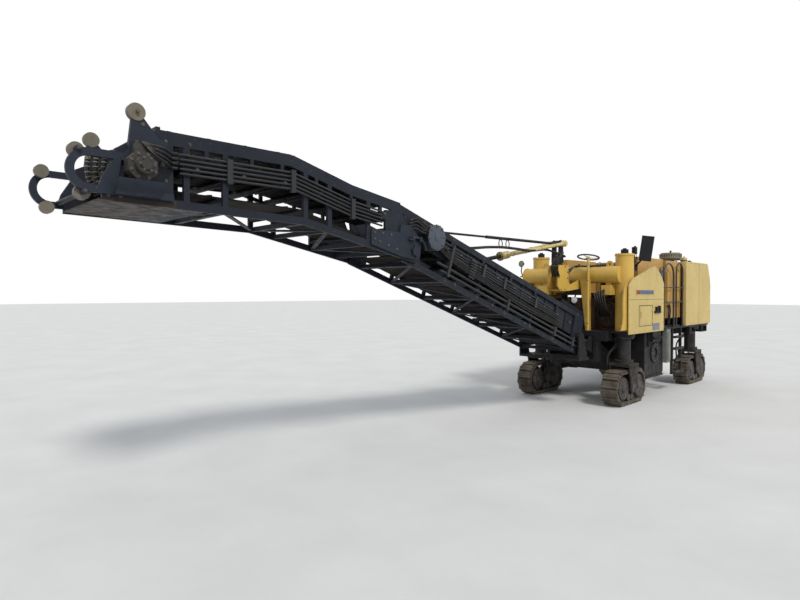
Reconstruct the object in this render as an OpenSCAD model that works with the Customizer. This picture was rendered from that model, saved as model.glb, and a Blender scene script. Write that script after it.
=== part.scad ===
// Cold planer milling machine on four steered tracks with a folding front discharge conveyor.
// All sizes in millimetres, +X towards the conveyor head, +Y to the left, +Z up.

/* [Layout] */
// distance between the front and rear leg axes
wheelbase = 3980; // [3500:10:4500]
// distance between the left and right track centres
gauge = 1950; // [1700:10:2200]
// half width over the side panels
body_half_w = 1200; // [1000:10:1300]
// height of the frame deck's upper face
deck_top = 1500; // [1300:10:1700]
// height of the hood's upper face
hood_top = 3050; // [2700:10:3200]
// distance from the front leg axes back to the rear wall
rear_end = 4900; // [4500:10:5200]
// thickness of body panels
panel_t = 20; // [4:1:40]
// thickness of the frame's deck plate
deck_t = 40; // [20:1:60]
// gap left between seated faces
seat = 0.3; // [0.1:0.1:1]
// radial clearance of running fits
run_fit = 0.05; // [0.01:0.01:0.1]
// gap left between bodies that move past each other
move_gap = 6; // [5:1:20]

/* [Tracks] */
// distance between the drive wheel and idler centres
track_centres = 740; // [600:10:900]
// radius of the loop under the shoes
track_r = 305; // [250:5:350]
// thickness of the loop under the shoes
track_web = 20; // [10:1:40]
// thickness of a shoe plate
shoe_t = 20; // [10:1:30]
// height of a shoe's grouser
grouser_h = 35; // [10:1:60]
// number of shoes on a loop
shoe_count = 22; // [16:1:30]
// width of the shoes
shoe_w = 340; // [300:10:450]
// radius of the drive hub that the yoke carries
hub_r = 60; // [40:5:100]
// radius of the end wheels' side discs
disc_r = 225; // [150:5:260]
// how far the side discs stand in from the shoes' edges
disc_in = 12; // [5:1:40]
// radius of the track rollers
roller_r = 75; // [50:5:100]
// width and height of the track frame's beam
beam_w = 180; // [120:10:240]
// height of the track frame's beam
beam_h = 170; // [120:10:240]

/* [Legs] */
// radius of the sliding leg tube
leg_r = 130; // [100:5:160]
// outer radius of the columns
column_r = 180; // [150:5:220]
// height of the columns' lower end
column_foot = 1350; // [1200:10:1450]
// height of the front columns' upper end
column_top = 3070; // [2800:10:3200]
// height of the rear columns' upper end
rear_column_top = 1690; // [1600:10:1900]
// height of the yoke's underside above the track
yoke_z = 790; // [750:10:900]
// thickness of the yoke's bridge
yoke_t = 50; // [30:5:80]
// thickness of the yoke's side plates
yoke_plate = 30; // [20:5:50]
// gap between the shoes and the yoke's side plates
yoke_gap = 15; // [10:1:30]
// half length of the yoke's bridge
yoke_half = 230; // [180:10:280]

/* [Cutter] */
// distance of the cutter axis behind the front legs
drum_back = 1300; // [1200:10:1500]
// height of the cutter axis
drum_z = 960; // [800:10:1100]
// radius of the cutter drum's tube
drum_r = 330; // [250:5:400]
// length of the cutter drum
drum_len = 1960; // [1500:10:2100]
// radius of the drum's shaft ends
drum_shaft_r = 100; // [60:5:140]
// half length of the cutter housing
housing_half = 530; // [480:10:600]
// height of the housing side plates' lower edge
housing_low = 460; // [400:10:600]
// middle of the housing's side plates from the centre line
housing_y = 1070; // [1000:5:1150]
// cutter tools on each half of the drum
teeth_per_side = 36; // [20:1:48]
// turns of each half's row of tools
tooth_turns = 3; // [1:1:5]

/* [Lower conveyor] */
// distance of the slew axis ahead of the front legs
slew_x = 1000; // [800:10:1200]
// distance of the lift axis ahead of the front legs
lift_x = 1250; // [1100:10:1500]
// height of the lift axis
lift_z = 1400; // [1200:10:1600]
// radius of the lift pins
lift_pin_r = 60; // [40:5:80]
// slope of the lower section in degrees
slope = 18.7; // [10:0.1:30]
// distance of the lower section's lower rear corner ahead of the front legs
lower_x = 1160; // [1100:5:1250]
// height of the lower section's lower rear corner
lower_z = 1038; // [950:1:1200]
// half width over the lower section's side frames
lower_half_w = 580; // [450:5:700]
// thickness of the side frames' bars
bar_t = 40; // [20:5:60]
// depth of the lower section at its tail
tail_depth = 800; // [700:5:900]
// depth of the lower section at its fold
fold_depth = 700; // [600:5:800]
// width of the belt
belt_w = 900; // [600:10:1000]
// belt thickness
belt_t = 14; // [8:1:20]

/* [Upper conveyor] */
// distance of the fold axis ahead of the front legs
fold_x = 5950; // [5500:10:6500]
// height of the fold axis
fold_z = 2850; // [2600:10:3100]
// radius of the fold pins
fold_pin_r = 45; // [30:5:70]
// half width over the upper section's side frames
upper_half_w = 626; // [500:1:750]
// distance of the head drum ahead of the front legs
head_x = 9560; // [9300:10:9800]
// height of the head drum
head_z = 3405; // [3200:10:3600]
// radius of the head drum
head_r = 116; // [80:2:160]
// distance of the hooks' centres ahead of the front legs
hook_x = 9950; // [9800:10:10100]
// height of the hooks' centres
hook_z = 3330; // [3200:10:3450]
// outer radius of the hooks
hook_r = 188; // [150:2:220]
// inner radius of the hooks
hook_hole = 122; // [80:2:160]

/* [Lift] */
// height of the boom's hinge pin over the slew axis
boom_z = 3300; // [3100:10:3500]
// radius of the boom's hinge pin
boom_pin_r = 45; // [30:5:60]
// length of the lift boom from its pin
boom_len = 2080; // [1800:10:2300]
// radius of the lift rod
lift_rod_r = 35; // [20:1:50]
// radius of the hose stay's outer tube
stay_r = 26; // [18:1:40]
// radius of the hose stay's inner rod
stay_rod_r = 17; // [10:1:24]

/* [Hidden] */
// middle of the whole length, where the model's origin lies
mid_x = 2600;
col_yellow = [0.86, 0.66, 0.10];
col_cream = [0.78, 0.70, 0.40];
col_orange = [0.80, 0.55, 0.12];
col_black = [0.09, 0.10, 0.12];
col_grey = [0.55, 0.56, 0.55];
col_steel = [0.30, 0.34, 0.38];
col_rubber = [0.12, 0.11, 0.10];
track_z = track_r + shoe_t + grouser_h;
track_run = 2 * track_centres + 2 * PI * track_r;
shoe_pitch = track_run / shoe_count;
rear_x = -wheelbase;
leg_y = gauge / 2;
drum_x = -drum_back;
housing_front = drum_x + housing_half;
housing_rear = drum_x - housing_half;
deck_low = deck_top - deck_t;
panel_y = body_half_w - panel_t / 2;
panel_in = body_half_w - panel_t;
round_fn = 48;
pipe_fn = 24;

// moves the layout so that the model's middle is at the origin
module placed() {
    translate([-mid_x, 0, 0]) children();
}

// plate of thickness t in an upright plane along X, its middle at y
module side_plate(y, t) {
    translate([0, y + t / 2, 0]) rotate([90, 0, 0]) linear_extrude(t) children();
}

// both mirror images of a child about the XZ plane
module both_sides() {
    children();
    mirror([0, 1, 0]) children();
}

// box from its low corner to its high corner
module box(low, high) {
    translate(low) cube(high - low);
}

// round bar from p to q
module rod(p, q, r) {
    v = q - p;
    len = norm(v);
    translate(p)
    rotate([0, acos(v[2] / len), atan2(v[1], v[0])])
    cylinder(h = len, r = r, $fn = pipe_fn);
}

// hose or rail along a list of points, a ball a little larger at every bend
module hose(points, r) {
    for (i = [0 : len(points) - 2]) rod(points[i], points[i + 1], r);
    for (i = [1 : 1 : len(points) - 2]) translate(points[i]) sphere(r = r * 1.15, $fn = pipe_fn);
}

// round bar along Y
module y_rod(x, y, z, len, r) {
    translate([x, y - len / 2, z]) rotate([-90, 0, 0]) cylinder(h = len, r = r, $fn = round_fn);
}

// upright cylinder
module post(x, y, low, high, r) {
    translate([x, y, low]) cylinder(h = high - low, r = r, $fn = round_fn);
}

// flat bar of width w from p to q in a plane
module bar(p, q, w) {
    v = q - p;
    n = [-v[1], v[0]] / norm(v) * w / 2;
    polygon([p - n, q - n, q + n, p + n]);
}

// Tracks and legs
function path_point(s) =
    let (run = track_centres, arc = PI * track_r, t = s - floor(s / track_run) * track_run)
    t < run ? [[-run / 2 + t, -track_r], -90] :
    t < run + arc ? let (a = -90 + (t - run) / track_r * 180 / PI)
        [[run / 2 + track_r * cos(a), track_r * sin(a)], a] :
    t < 2 * run + arc ? [[run / 2 - (t - run - arc), track_r], 90] :
    let (a = 90 + (t - 2 * run - arc) / track_r * 180 / PI)
        [[-run / 2 + track_r * cos(a), track_r * sin(a)], a];

// a shoe's outline as [along, outward] in shares of the pitch and in mm
shoe_form = [
    [-0.47, 0], [-0.47, shoe_t], [-0.16, shoe_t], [-0.09, shoe_t + grouser_h],
    [0.09, shoe_t + grouser_h], [0.16, shoe_t], [0.47, shoe_t], [0.47, 0]
];

module track_outline() {
    polygon([
        for (i = [0 : shoe_count - 1])
        let (at = path_point((i + 0.5) * shoe_pitch), a = at[1])
        for (f = shoe_form)
        at[0] + f[0] * shoe_pitch * [-sin(a), cos(a)] + f[1] * [cos(a), sin(a)]
    ]);
}

module loop_hole(r) {
    translate([-track_centres / 2, 0]) circle(r = r, $fn = 64);
    translate([track_centres / 2, 0]) circle(r = r, $fn = 64);
    translate([-track_centres / 2, -r]) square([track_centres, 2 * r]);
}

module track_loop(x, y) {
    color(col_rubber) placed()
    translate([x, 0, track_z]) side_plate(y, shoe_w) difference() {
        track_outline();
        loop_hole(track_r - track_web);
    }
}

wheel_r = track_r - track_web - seat;
wheel_w = 150;
boss_r = 80;
roller_at = [-240, -80, 80, 240];
roller_arm = 30;
roller_arm_half = 60;
roller_inset = 60;
hub_len = shoe_w + 2 * yoke_gap + 2 * yoke_plate;

module track_frame(x, y) {
    color(col_steel) placed() translate([x, y, track_z]) {
        for (end = [-1, 1]) {
            y_rod(end * track_centres / 2, 0, 0, wheel_w, wheel_r);
            y_rod(end * track_centres / 2, 0, 0, shoe_w - 2 * disc_in, disc_r);
            y_rod(end * track_centres / 2, 0, 0, shoe_w, boss_r);
        }
        box([-track_centres / 2, -beam_w / 2, -beam_h / 2], [track_centres / 2, beam_w / 2, beam_h / 2]);
        for (rx = roller_at) {
            y_rod(rx, 0, -wheel_r + roller_r, abs(rx) > 200 ? wheel_w : shoe_w - roller_inset, roller_r);
            box([rx - roller_arm, -roller_arm_half, -wheel_r + roller_r], [rx + roller_arm,
                roller_arm_half, 0]);
        }
        y_rod(0, 0, 0, hub_len, hub_r);
    }
}

fork_y = shoe_w / 2 + yoke_gap;
yoke_drop = yoke_z - track_z;
collar_h = 60;
collar_out = 50;
// half outline of the yoke's side plate as [along, height over the hub]
fork_half = [[hub_r, -110], [hub_r + 70, -50], [yoke_half - 30, yoke_drop - 90], [yoke_half,
    yoke_drop + yoke_t]];
fork_bolts = [[-150, yoke_drop - 20], [0, yoke_drop - 20], [150, yoke_drop - 20], [0, 150]];
bolt_r = 22;
bolt_out = 12;

module leg(x, y, tube_top) {
    color(col_steel) placed() translate([x, y, 0]) {
        translate([0, 0, track_z]) both_sides() {
            side_plate(fork_y + yoke_plate / 2, yoke_plate) difference() {
                polygon(concat(fork_half, [for (i = [3 : -1 : 0]) [-fork_half[i][0], fork_half[i][1]]]));
                circle(r = hub_r + run_fit, $fn = round_fn);
            }
            for (b = fork_bolts) y_rod(b[0], fork_y + yoke_plate + bolt_out / 2 - 1, b[1],
                bolt_out + 2, bolt_r);
        }
        box([-yoke_half, -fork_y - yoke_plate, yoke_z], [yoke_half, fork_y + yoke_plate,
            yoke_z + yoke_t]);
        post(0, 0, yoke_z, tube_top, leg_r);
        post(0, 0, yoke_z + yoke_t - 1, yoke_z + yoke_t + collar_h, leg_r + collar_out);
    }
}

// Chassis
tow_reach = 110;
tow_low = 1370;
tow_t = 40;
tow_r = 30;
tow_half = 100;
tow_edge = 60;
column_bore_top = 400;
rear_leg_top = 1600;
front_leg_top = 2500;
bore_spare = 10;
frame_low = 1300;
rail_in = 500;
rail_out = 760;
nose_front = 420;
nose_back = 200;
front_rail_in = 560;
front_rail_out = 790;
nose_low = 850;
nose_t = 60;
nose_half = 150;
nose_reach = 130;
saddle_out = 22;
turn_pin_r = 60;
tie_y = 600;
tie_z = 1340;
tie_r = 25;
tie_out = 60;
tie_t = 30;
saddle_x = [0, rear_x];

module main_frame() {
    color(col_black) placed() difference() {
        union() {
            // deck plate and the boxes under it ahead of and behind the cutter
            box([-rear_end + 150, -panel_in + seat, deck_low], [260, panel_in - seat, deck_top]);
            both_sides() box([-rear_end + 150, rail_in, frame_low - 50], [housing_rear - 140, rail_out,
                deck_top]);
            both_sides() box([housing_front + 20, front_rail_in, frame_low], [260, front_rail_out,
                deck_top]);
            box([-rear_end + 150, -rail_out, frame_low - 50], [-rear_end + 350, rail_out, deck_top]);
            box([housing_rear - 340, -rail_out, frame_low - 50], [housing_rear - 140, rail_out,
                deck_top]);
            // saddles round the four columns and the rear column tubes
            for (x = saddle_x) both_sides() post(x, leg_y, column_foot + 20, deck_top,
                column_r + saddle_out);
            both_sides() post(rear_x, leg_y, column_foot, rear_column_top, column_r);
            // nose that carries the slewing conveyor
            both_sides() box([nose_back, rail_in, frame_low], [nose_front, front_rail_out, deck_top]);
            box([nose_back, -front_rail_out, deck_top - 110], [nose_front, front_rail_out, deck_top]);
            both_sides() box([nose_back, rail_in, nose_low], [nose_front, rail_in + 70, frame_low + 50]);
            box([nose_back, -rail_in, nose_low], [nose_front, rail_in, nose_low + nose_t]);
            box([nose_front - 40, -nose_half, nose_low], [slew_x, nose_half, nose_low + nose_t]);
            post(slew_x, 0, nose_low, nose_low + nose_t, nose_reach);
            // tow lug and tie-down lugs at the rear
            box([-rear_end - tow_reach, -tow_half, tow_low], [-rear_end + 160, tow_half,
                tow_low + tow_t]);
            both_sides() side_plate(tie_y, tie_t) {
                translate([-rear_end - 40, tie_z]) circle(r = tie_out, $fn = round_fn);
                translate([-rear_end - 40, tie_z - tie_out]) square([220, 2 * tie_out]);
            }
        }
        translate([-rear_end - tow_reach + tow_edge, 0, tow_low - 1]) cylinder(h = tow_t + 2,
            r = tow_r, $fn = round_fn);
        both_sides() y_rod(-rear_end - 40, tie_y, tie_z, tie_t + 2, tie_r);
        both_sides() post(0, leg_y, column_foot - 100, column_foot + 300, column_r + run_fit);
        both_sides() post(rear_x, leg_y, column_foot - 100, rear_leg_top + bore_spare, leg_r + run_fit);
        post(slew_x, 0, nose_low - 10, nose_low + nose_t + 10, turn_pin_r + run_fit);
    }
}

tube_x = 170;
tube_z = 2670;
tube_r = 175;
tube_right = 1250;
mast_front = 1180;
mast_back = 760;
mast_half = 120;
mast_t = 30;
mast_low = 2330;
mast_top = 2860;
arm_high = 2450;
head_pin_r = 50;
head_plate_t = 40;
column_cap_out = 12;
column_cap_h = 40;
eye_y = 740;
eye_r = 30;
eye_out = 70;
eye_t = 30;
eye_z = tube_z + tube_r + 45;
// front edge of the curved corner plates under the front columns, as [x, z]
gusset_form = [
    [250, 1540], [250, 2500], [330, 2440], [400, 2340], [440, 2220], [455, 2080],
    [450, 1920], [445, 1780], [470, 1660], [530, 1560], [545, 1540]
];
pole_x = 385;
pole_y = 370;
pole_r = 28;
pole_top = 2760;
pole_clamp_z = [1640, 2540];
taper_top = [140, 380];
taper_foot = [280, 390];

module front_portal() {
    color(col_yellow) placed() difference() {
        union() {
            both_sides() post(0, leg_y, column_foot, column_top, column_r);
            both_sides() post(0, leg_y, column_top - 10, column_top + column_cap_h - 10,
                column_r + column_cap_out);
            y_rod(tube_x, (leg_y - tube_right) / 2, tube_z, leg_y + tube_right, tube_r);
            y_rod(tube_x, -tube_right + 15, tube_z, 30, tube_r + 12);
            // arm and upright box that carry the swivel head
            both_sides() side_plate(mast_half - mast_t / 2, mast_t) polygon([
                [tube_x, mast_low + 60], [tube_x, tube_z], [tube_x + tube_r, tube_z - 120],
                    [mast_back - 60, arm_high],
                [mast_back, arm_high + 60], [mast_back, mast_top], [mast_front - 60, mast_top],
                [mast_front, mast_top - 90], [mast_front, mast_low + 90], [mast_front - 90, mast_low],
                    [mast_back, mast_low]
            ]);
            box([mast_back, -mast_half, mast_top - head_plate_t], [mast_front - 60, mast_half, mast_top]);
            box([mast_back, -mast_half, mast_low], [mast_front - 90, mast_half, mast_low + mast_t]);
            box([mast_back - 60, -mast_half, mast_low + 20], [mast_back - 30, mast_half, arm_high]);
            // tapered plate under the tube beside the wheel's pole
            translate([tube_x + 150, 0, 0]) rotate([0, -90, 0]) linear_extrude(mast_t) polygon([
                [deck_top + seat, taper_foot[0]], [deck_top + seat, taper_foot[1]],
                [tube_z, taper_top[1]], [tube_z, taper_top[0]]
            ]);
            // pole that carries the wheel
            post(pole_x, pole_y, deck_top + seat, pole_top, pole_r);
            for (z = pole_clamp_z) box([tube_x + 140, pole_y - 20, z], [pole_x, pole_y + 20, z + 30]);
            // curved corner plates
            both_sides() side_plate(panel_in - 40, panel_t) polygon(gusset_form);
            both_sides() box([150, leg_y, 1600], [260, panel_in - 40, 1640]);
            both_sides() box([150, leg_y, 2300], [260, panel_in - 40, 2340]);
            // lifting eyes on the tube and the box under each
            both_sides() translate([tube_x - eye_t / 2, eye_y, 0]) rotate([90, 0, 90])
                linear_extrude(eye_t) {
                translate([0, eye_z]) circle(r = eye_out, $fn = round_fn);
                translate([-eye_out, tube_z]) square([2 * eye_out, eye_z - tube_z]);
            }
            both_sides() box([tube_x - 60, eye_y - 100, 2250], [tube_x + 190, eye_y + 100, 2450]);
            both_sides() box([tube_x - 60, eye_y - 60, 2440], [tube_x + 60, eye_y + 60, tube_z]);
        }
        both_sides() translate([tube_x - eye_t / 2 - 1, eye_y, eye_z]) rotate([0, 90, 0])
            cylinder(h = eye_t + 2, r = eye_r, $fn = round_fn);
        both_sides() post(0, leg_y, column_foot - 100, front_leg_top + bore_spare, leg_r + run_fit);
        post(slew_x, 0, mast_top - 100, mast_top + 100, head_pin_r + run_fit);
    }
}

housing_t = 40;
roof_t = 30;
mouth_y = 480;
mouth_z = 1150;
gate_guides = [-850, 850];
gate_guide_x = housing_rear - 90;
gate_guide_r = 25;
gate_guide_low = 760;
gate_top = 1170;
gate_low = 440;
gate_half = 1040;
gate_t = 25;
gate_ribs = [-600, -300, 0, 300, 600];
side_ribs = [-380, 380];

module cutter_housing() {
    color(col_black) placed() {
        both_sides() side_plate(housing_y, housing_t) difference() {
            polygon([
                [housing_rear, housing_low + 60], [housing_rear + 60, housing_low],
                [housing_front - 60, housing_low], [housing_front, housing_low + 60],
                [housing_front, deck_low - seat], [housing_rear, deck_low - seat]
            ]);
            translate([drum_x, drum_z]) circle(r = drum_shaft_r + run_fit, $fn = round_fn);
        }
        // sliding shoes along the side plates' lower edges and ribs above the shaft
        both_sides() box([housing_rear + 60, housing_y - 50, housing_low - 30],
            [housing_front - 60, housing_y + 50, housing_low + 5]);
        both_sides() for (x = side_ribs)
            box([drum_x + x - 12, housing_y, drum_z + 160], [drum_x + x + 12, housing_y + 60,
                deck_low - seat]);
        both_sides() side_plate(housing_y + 35, 30) difference() {
            translate([drum_x, drum_z]) circle(r = 220, $fn = 64);
            translate([drum_x, drum_z]) circle(r = drum_shaft_r + move_gap, $fn = round_fn);
        }
        box([housing_rear, -housing_y + 10, deck_low - roof_t], [housing_front, housing_y - 10,
            deck_low - seat]);
        // front wall with the mouth that feeds the gathering belt
        both_sides() box([housing_front - roof_t, mouth_y, 520], [housing_front, housing_y - 10,
            deck_low - 10]);
        box([housing_front - roof_t, -mouth_y - 10, mouth_z], [housing_front, mouth_y + 10,
            deck_low - 10]);
        // guide bars of the rear gate
        for (y = gate_guides) {
            post(gate_guide_x, y, gate_guide_low, deck_low - 20, gate_guide_r);
            box([gate_guide_x - 40, y - 40, deck_low - roof_t], [housing_rear + 10, y + 40,
                deck_low - seat]);
        }
    }
}

module moldboard() {
    color(col_black) placed() {
        box([housing_rear - 30, -gate_half, gate_low + 30], [housing_rear - 30 + gate_t, gate_half,
            gate_top]);
        for (y = gate_ribs) box([housing_rear - 55, y - 15, gate_low + 60], [housing_rear - 29, y + 15,
            gate_top - 30]);
        for (y = gate_guides) difference() {
            box([gate_guide_x - 40, y - 40, 880], [housing_rear - 29, y + 40, 1000]);
            post(gate_guide_x, y, 870, 1010, gate_guide_r + run_fit);
        }
        box([housing_rear - 55, -gate_half, gate_low], [housing_rear - 30 + gate_t, gate_half,
            gate_low + 60]);
    }
}

tool_base = [70, 44, 80];
tool_h = 62;

module cutter_drum() {
    color(col_steel) placed() translate([drum_x, 0, drum_z]) {
        y_rod(0, 0, 0, drum_len, drum_r);
        y_rod(0, 0, 0, 2 * (housing_y + housing_t / 2) - 2, drum_shaft_r);
        for (side = [-1, 1]) for (i = [0 : teeth_per_side - 1]) {
            a = i * 360 * tooth_turns / teeth_per_side;
            y = side * (30 + i * (drum_len / 2 - 70) / teeth_per_side);
            rotate([0, a, 0]) translate([0, y, drum_r - 20]) {
                translate([-45, -tool_base[1] / 2, 0]) cube(tool_base);
                translate([10, 0, 70]) rotate([0, 35, 0]) cylinder(h = tool_h, r1 = 20, r2 = 6, $fn = 16);
            }
        }
    }
}

panel_low = 1450;
bay_rear = -3000;
bay_front = -1560;
front_panel = [
    [bay_front, panel_low], [300, panel_low], [300, 2440], [120, 2580], [-900, 2850], [-1130, 2870],
    [-1420, 2660], [bay_front, 2500]
];
rear_panel = [
    [-rear_end + 40, deck_top], [bay_rear, deck_top], [bay_rear, hood_top + 5],
    [-rear_end + 310, hood_top + 5], [-rear_end + 250, hood_top - 40],
    [-rear_end + 100, hood_top - 350], [-rear_end + 44, hood_top - 560]
];
// rear wall in side view: outer line, upright below and leaning above
rear_wall = [
    [-rear_end, deck_top], [-rear_end + panel_t, deck_top], [-rear_end + 40, hood_top - 550],
    [-rear_end + 260, hood_top - 40], [-rear_end + 290, hood_top - 20],
    [-rear_end + 280, hood_top], [-rear_end + 245, hood_top - 30],
    [-rear_end + 20, hood_top - 540]
];
wall_corner = 50;
grille_low = [-620, 1800];
grille_high = [620, 2400];
grille_pitch = 75;
grille_t = 12;
door_low = [-900, 1600];
door_high = [-200, 2020];
door_gap = 6;
hinge_at = [door_low[0] - 2, body_half_w + 12];
hinge_r = 12;
hinge_pin_r = 6;
knuckle_h = 29;
door_hinges = [1690, 1930];
plate_low = [-980, 2245];
plate_high = [-20, 2365];
plate_t = 5;
rim_t = 12;
rim_w = 60;

module body_panels() {
    color(col_cream) placed() {
        side_plate(panel_y, panel_t) difference() {
            polygon(front_panel);
            translate(door_low - [door_gap, door_gap]) square(door_high - door_low + 2 * [door_gap,
                door_gap]);
        }
        side_plate(-panel_y, panel_t) difference() {
            polygon(front_panel);
            translate([tube_x, tube_z]) circle(r = tube_r + door_gap, $fn = 64);
        }
        // blank plates and the folded rims of the front panels
        both_sides() box([plate_low[0], body_half_w - 1, plate_low[1]], [plate_high[0],
            body_half_w + plate_t, plate_high[1]]);
        both_sides() box([bay_front, body_half_w - rim_w, deck_top + seat], [bay_front + rim_t,
            body_half_w - 1, 2440]);
        both_sides() box([-1500, body_half_w - rim_w, panel_low], [-column_r - 50, body_half_w - 1,
            deck_low - seat]);
        for (z = door_hinges) {
            post(hinge_at[0], hinge_at[1], z - 60, z + 60, hinge_pin_r);
            for (low = [z - 60, z + 60 - knuckle_h]) {
                post(hinge_at[0], hinge_at[1], low, low + knuckle_h, hinge_r);
                box([hinge_at[0] - 60, body_half_w - 1, low], [hinge_at[0], hinge_at[1] - 2,
                    low + knuckle_h]);
            }
        }
        both_sides() side_plate(panel_y, panel_t) polygon(rear_panel);
        both_sides() box([bay_rear - 30, body_half_w - 90, deck_top + seat], [bay_rear, body_half_w - 1,
            hood_top - 10]);
        side_plate(0, 2 * panel_in + 2) polygon([for (i = [2 : 7]) rear_wall[i]]);
        // rear wall with its grille of slats, between rounded corners
        difference() {
            side_plate(0, 2 * (body_half_w - wall_corner)) polygon(rear_wall);
            box([-rear_end - 30, grille_low[0], grille_low[1]], [-rear_end + 120, grille_high[0],
                grille_high[1]]);
        }
        for (z = [grille_low[1] + 30 : grille_pitch : grille_high[1] - 20])
            translate([-rear_end + 22, 0, z]) rotate([0, 35, 0])
                box([-22, grille_low[0] - 5, -grille_t / 2], [22, grille_high[0] + 5, grille_t / 2]);
        both_sides() translate([-rear_end + wall_corner, body_half_w - wall_corner, deck_top])
            intersection() {
            difference() {
                cylinder(h = 1000, r = wall_corner, $fn = round_fn);
                translate([0, 0, -1]) cylinder(h = 1002, r = wall_corner - panel_t, $fn = round_fn);
            }
            translate([-60, 0, 0]) cube([60, 60, 1000]);
        }
    }
}

handle_w = 50;

module access_door() {
    color(col_cream) placed() {
        side_plate(panel_y, panel_t) translate(door_low) square(door_high - door_low);
        side_plate(panel_y + panel_t / 2 + 2, 6) translate(door_low + [60, 40])
            square(door_high - door_low - [120, 80]);
        box([door_high[0] - 110, body_half_w - 1, 1780], [door_high[0] - 110 + handle_w,
            body_half_w + 25, 1900]);
        for (z = door_hinges) difference() {
            union() {
                post(hinge_at[0], hinge_at[1], z - 30, z + 30, hinge_r);
                box([hinge_at[0], body_half_w - 1, z - 30], [hinge_at[0] + 60, hinge_at[1] - 2, z + 30]);
            }
            post(hinge_at[0], hinge_at[1], z - 31, z + 31, hinge_pin_r + run_fit);
        }
    }
}

hood_rear = 4550;
hood_front = 2100;
hood_half = 1050;
tank_in = 640;
tank_out = 1000;
hood_ribs = [-2700, -3300, -3900, -4450];
bay_tank = [[-2960, -2480], [-2420, -2110]];

module hood() {
    color(col_orange) placed() {
        both_sides() box([-2050, tank_in, 2250], [-600, tank_out, hood_top + 20]);
        difference() {
            box([-hood_rear, -hood_half, deck_top + 200], [-hood_front, hood_half, hood_top]);
            box([-hood_rear + panel_t, -hood_half + panel_t, deck_top + 100],
                [-hood_front - panel_t, hood_half - panel_t, hood_top - panel_t]);
        }
        for (x = hood_ribs) box([x - 15, -hood_half + 40, hood_top - 1], [x + 15, hood_half - 500,
            hood_top + 25]);
        both_sides() box([-hood_front - 5, tank_in, deck_top + seat], [-2050, tank_out, 2300]);
        box([-hood_rear, -hood_half, deck_top + seat], [-hood_rear + panel_t, hood_half, deck_top + 210]);
        // tanks that stand in the bay behind the handrails
        for (t = bay_tank) box([t[0], hood_half - 30, deck_top + 560], [t[1], hood_half + 30,
            hood_top - 260]);
    }
}

fan_x = -185;
fan_at = [580, 1830];
fan_hub = 80;
fan_shaft_r = 20;
blade_len = 225;
blade_w = 70;
shroud_r = 258;
shroud_h = 70;
engine_rear = -1900;
engine_half = 480;
cooler_in = 250;
cooler_out = 1000;
cooler_top = 2180;
engine_pipes = [[-330, 2200], [-60, 2140], [240, 1990]];
filter_at = [-35, -600];
filter_r = 130;

module engine_block() {
    color(col_black) placed() difference() {
        union() {
            box([engine_rear, -engine_half, deck_top + seat], [fan_x - 15, engine_half, cooler_top]);
            both_sides() box([fan_x - 215, cooler_in, deck_top + seat], [fan_x - 15, cooler_out,
                cooler_top]);
            // ring round the fan and its four stays
            translate([fan_x - 20, fan_at[0], fan_at[1]]) rotate([0, 90, 0]) difference() {
                cylinder(h = shroud_h, r = shroud_r, $fn = 64);
                translate([0, 0, -1]) cylinder(h = shroud_h + 2, r = shroud_r - 15, $fn = 64);
            }
            // pipes and drums in the open bay
            for (p = engine_pipes) post(fan_x + 60, p[0], deck_top + seat, p[1], 45);
            box([fan_x - 20, -330, 1900], [fan_x + 90, 240, 2000]);
            post(filter_at[0], filter_at[1], deck_top + seat, 2100, filter_r);
        }
        translate([fan_x - 80, fan_at[0], fan_at[1]]) rotate([0, 90, 0])
            cylinder(h = 80, r = fan_shaft_r + run_fit, $fn = round_fn);
    }
}

module cooling_fan() {
    color(col_orange) placed() translate([fan_x, fan_at[0], fan_at[1]]) rotate([0, 90, 0]) {
        cylinder(h = 50, r = fan_hub, $fn = round_fn);
        translate([0, 0, -60]) cylinder(h = 61, r = fan_shaft_r, $fn = round_fn);
        for (i = [0 : 5]) rotate([0, 0, i * 60]) translate([fan_hub - 8, 0, 22]) rotate([25, 0, 0])
            translate([0, -blade_w / 2 + 8, -5]) cube([blade_len - fan_hub, blade_w, 10]);
    }
}

floor_top = 2290;
floor_t = 50;
floor_front = -20;
floor_rear = -2080;
floor_half = 600;
floor_legs = [-1800, -300];

module operator_deck() {
    color(col_black) placed() {
        box([floor_rear, -floor_half, floor_top - floor_t], [floor_front, floor_half, floor_top]);
        both_sides() for (x = floor_legs)
            box([x - 30, engine_half + 20, (x > -1000 ? cooler_top : deck_top) + seat], [x + 30,
                floor_half, floor_top - 20]);
    }
}

seat_at = -1100;
seat_half = 240;
seat_low = floor_top + 240;
cushion_h = 100;
back_top = floor_top + 700;
back_half = 230;
arm_z = floor_top + 470;
arm_out = 300;
// side console as [x, height over the floor], its middle and width in y
console_form = [[-700, seat], [-360, seat], [-400, 470], [-640, 570], [-700, 570]];
console_y = -410;
console_w = 300;
rim_r = 215;
rim_wire = 16;
wheel_z = 3040;

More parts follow.
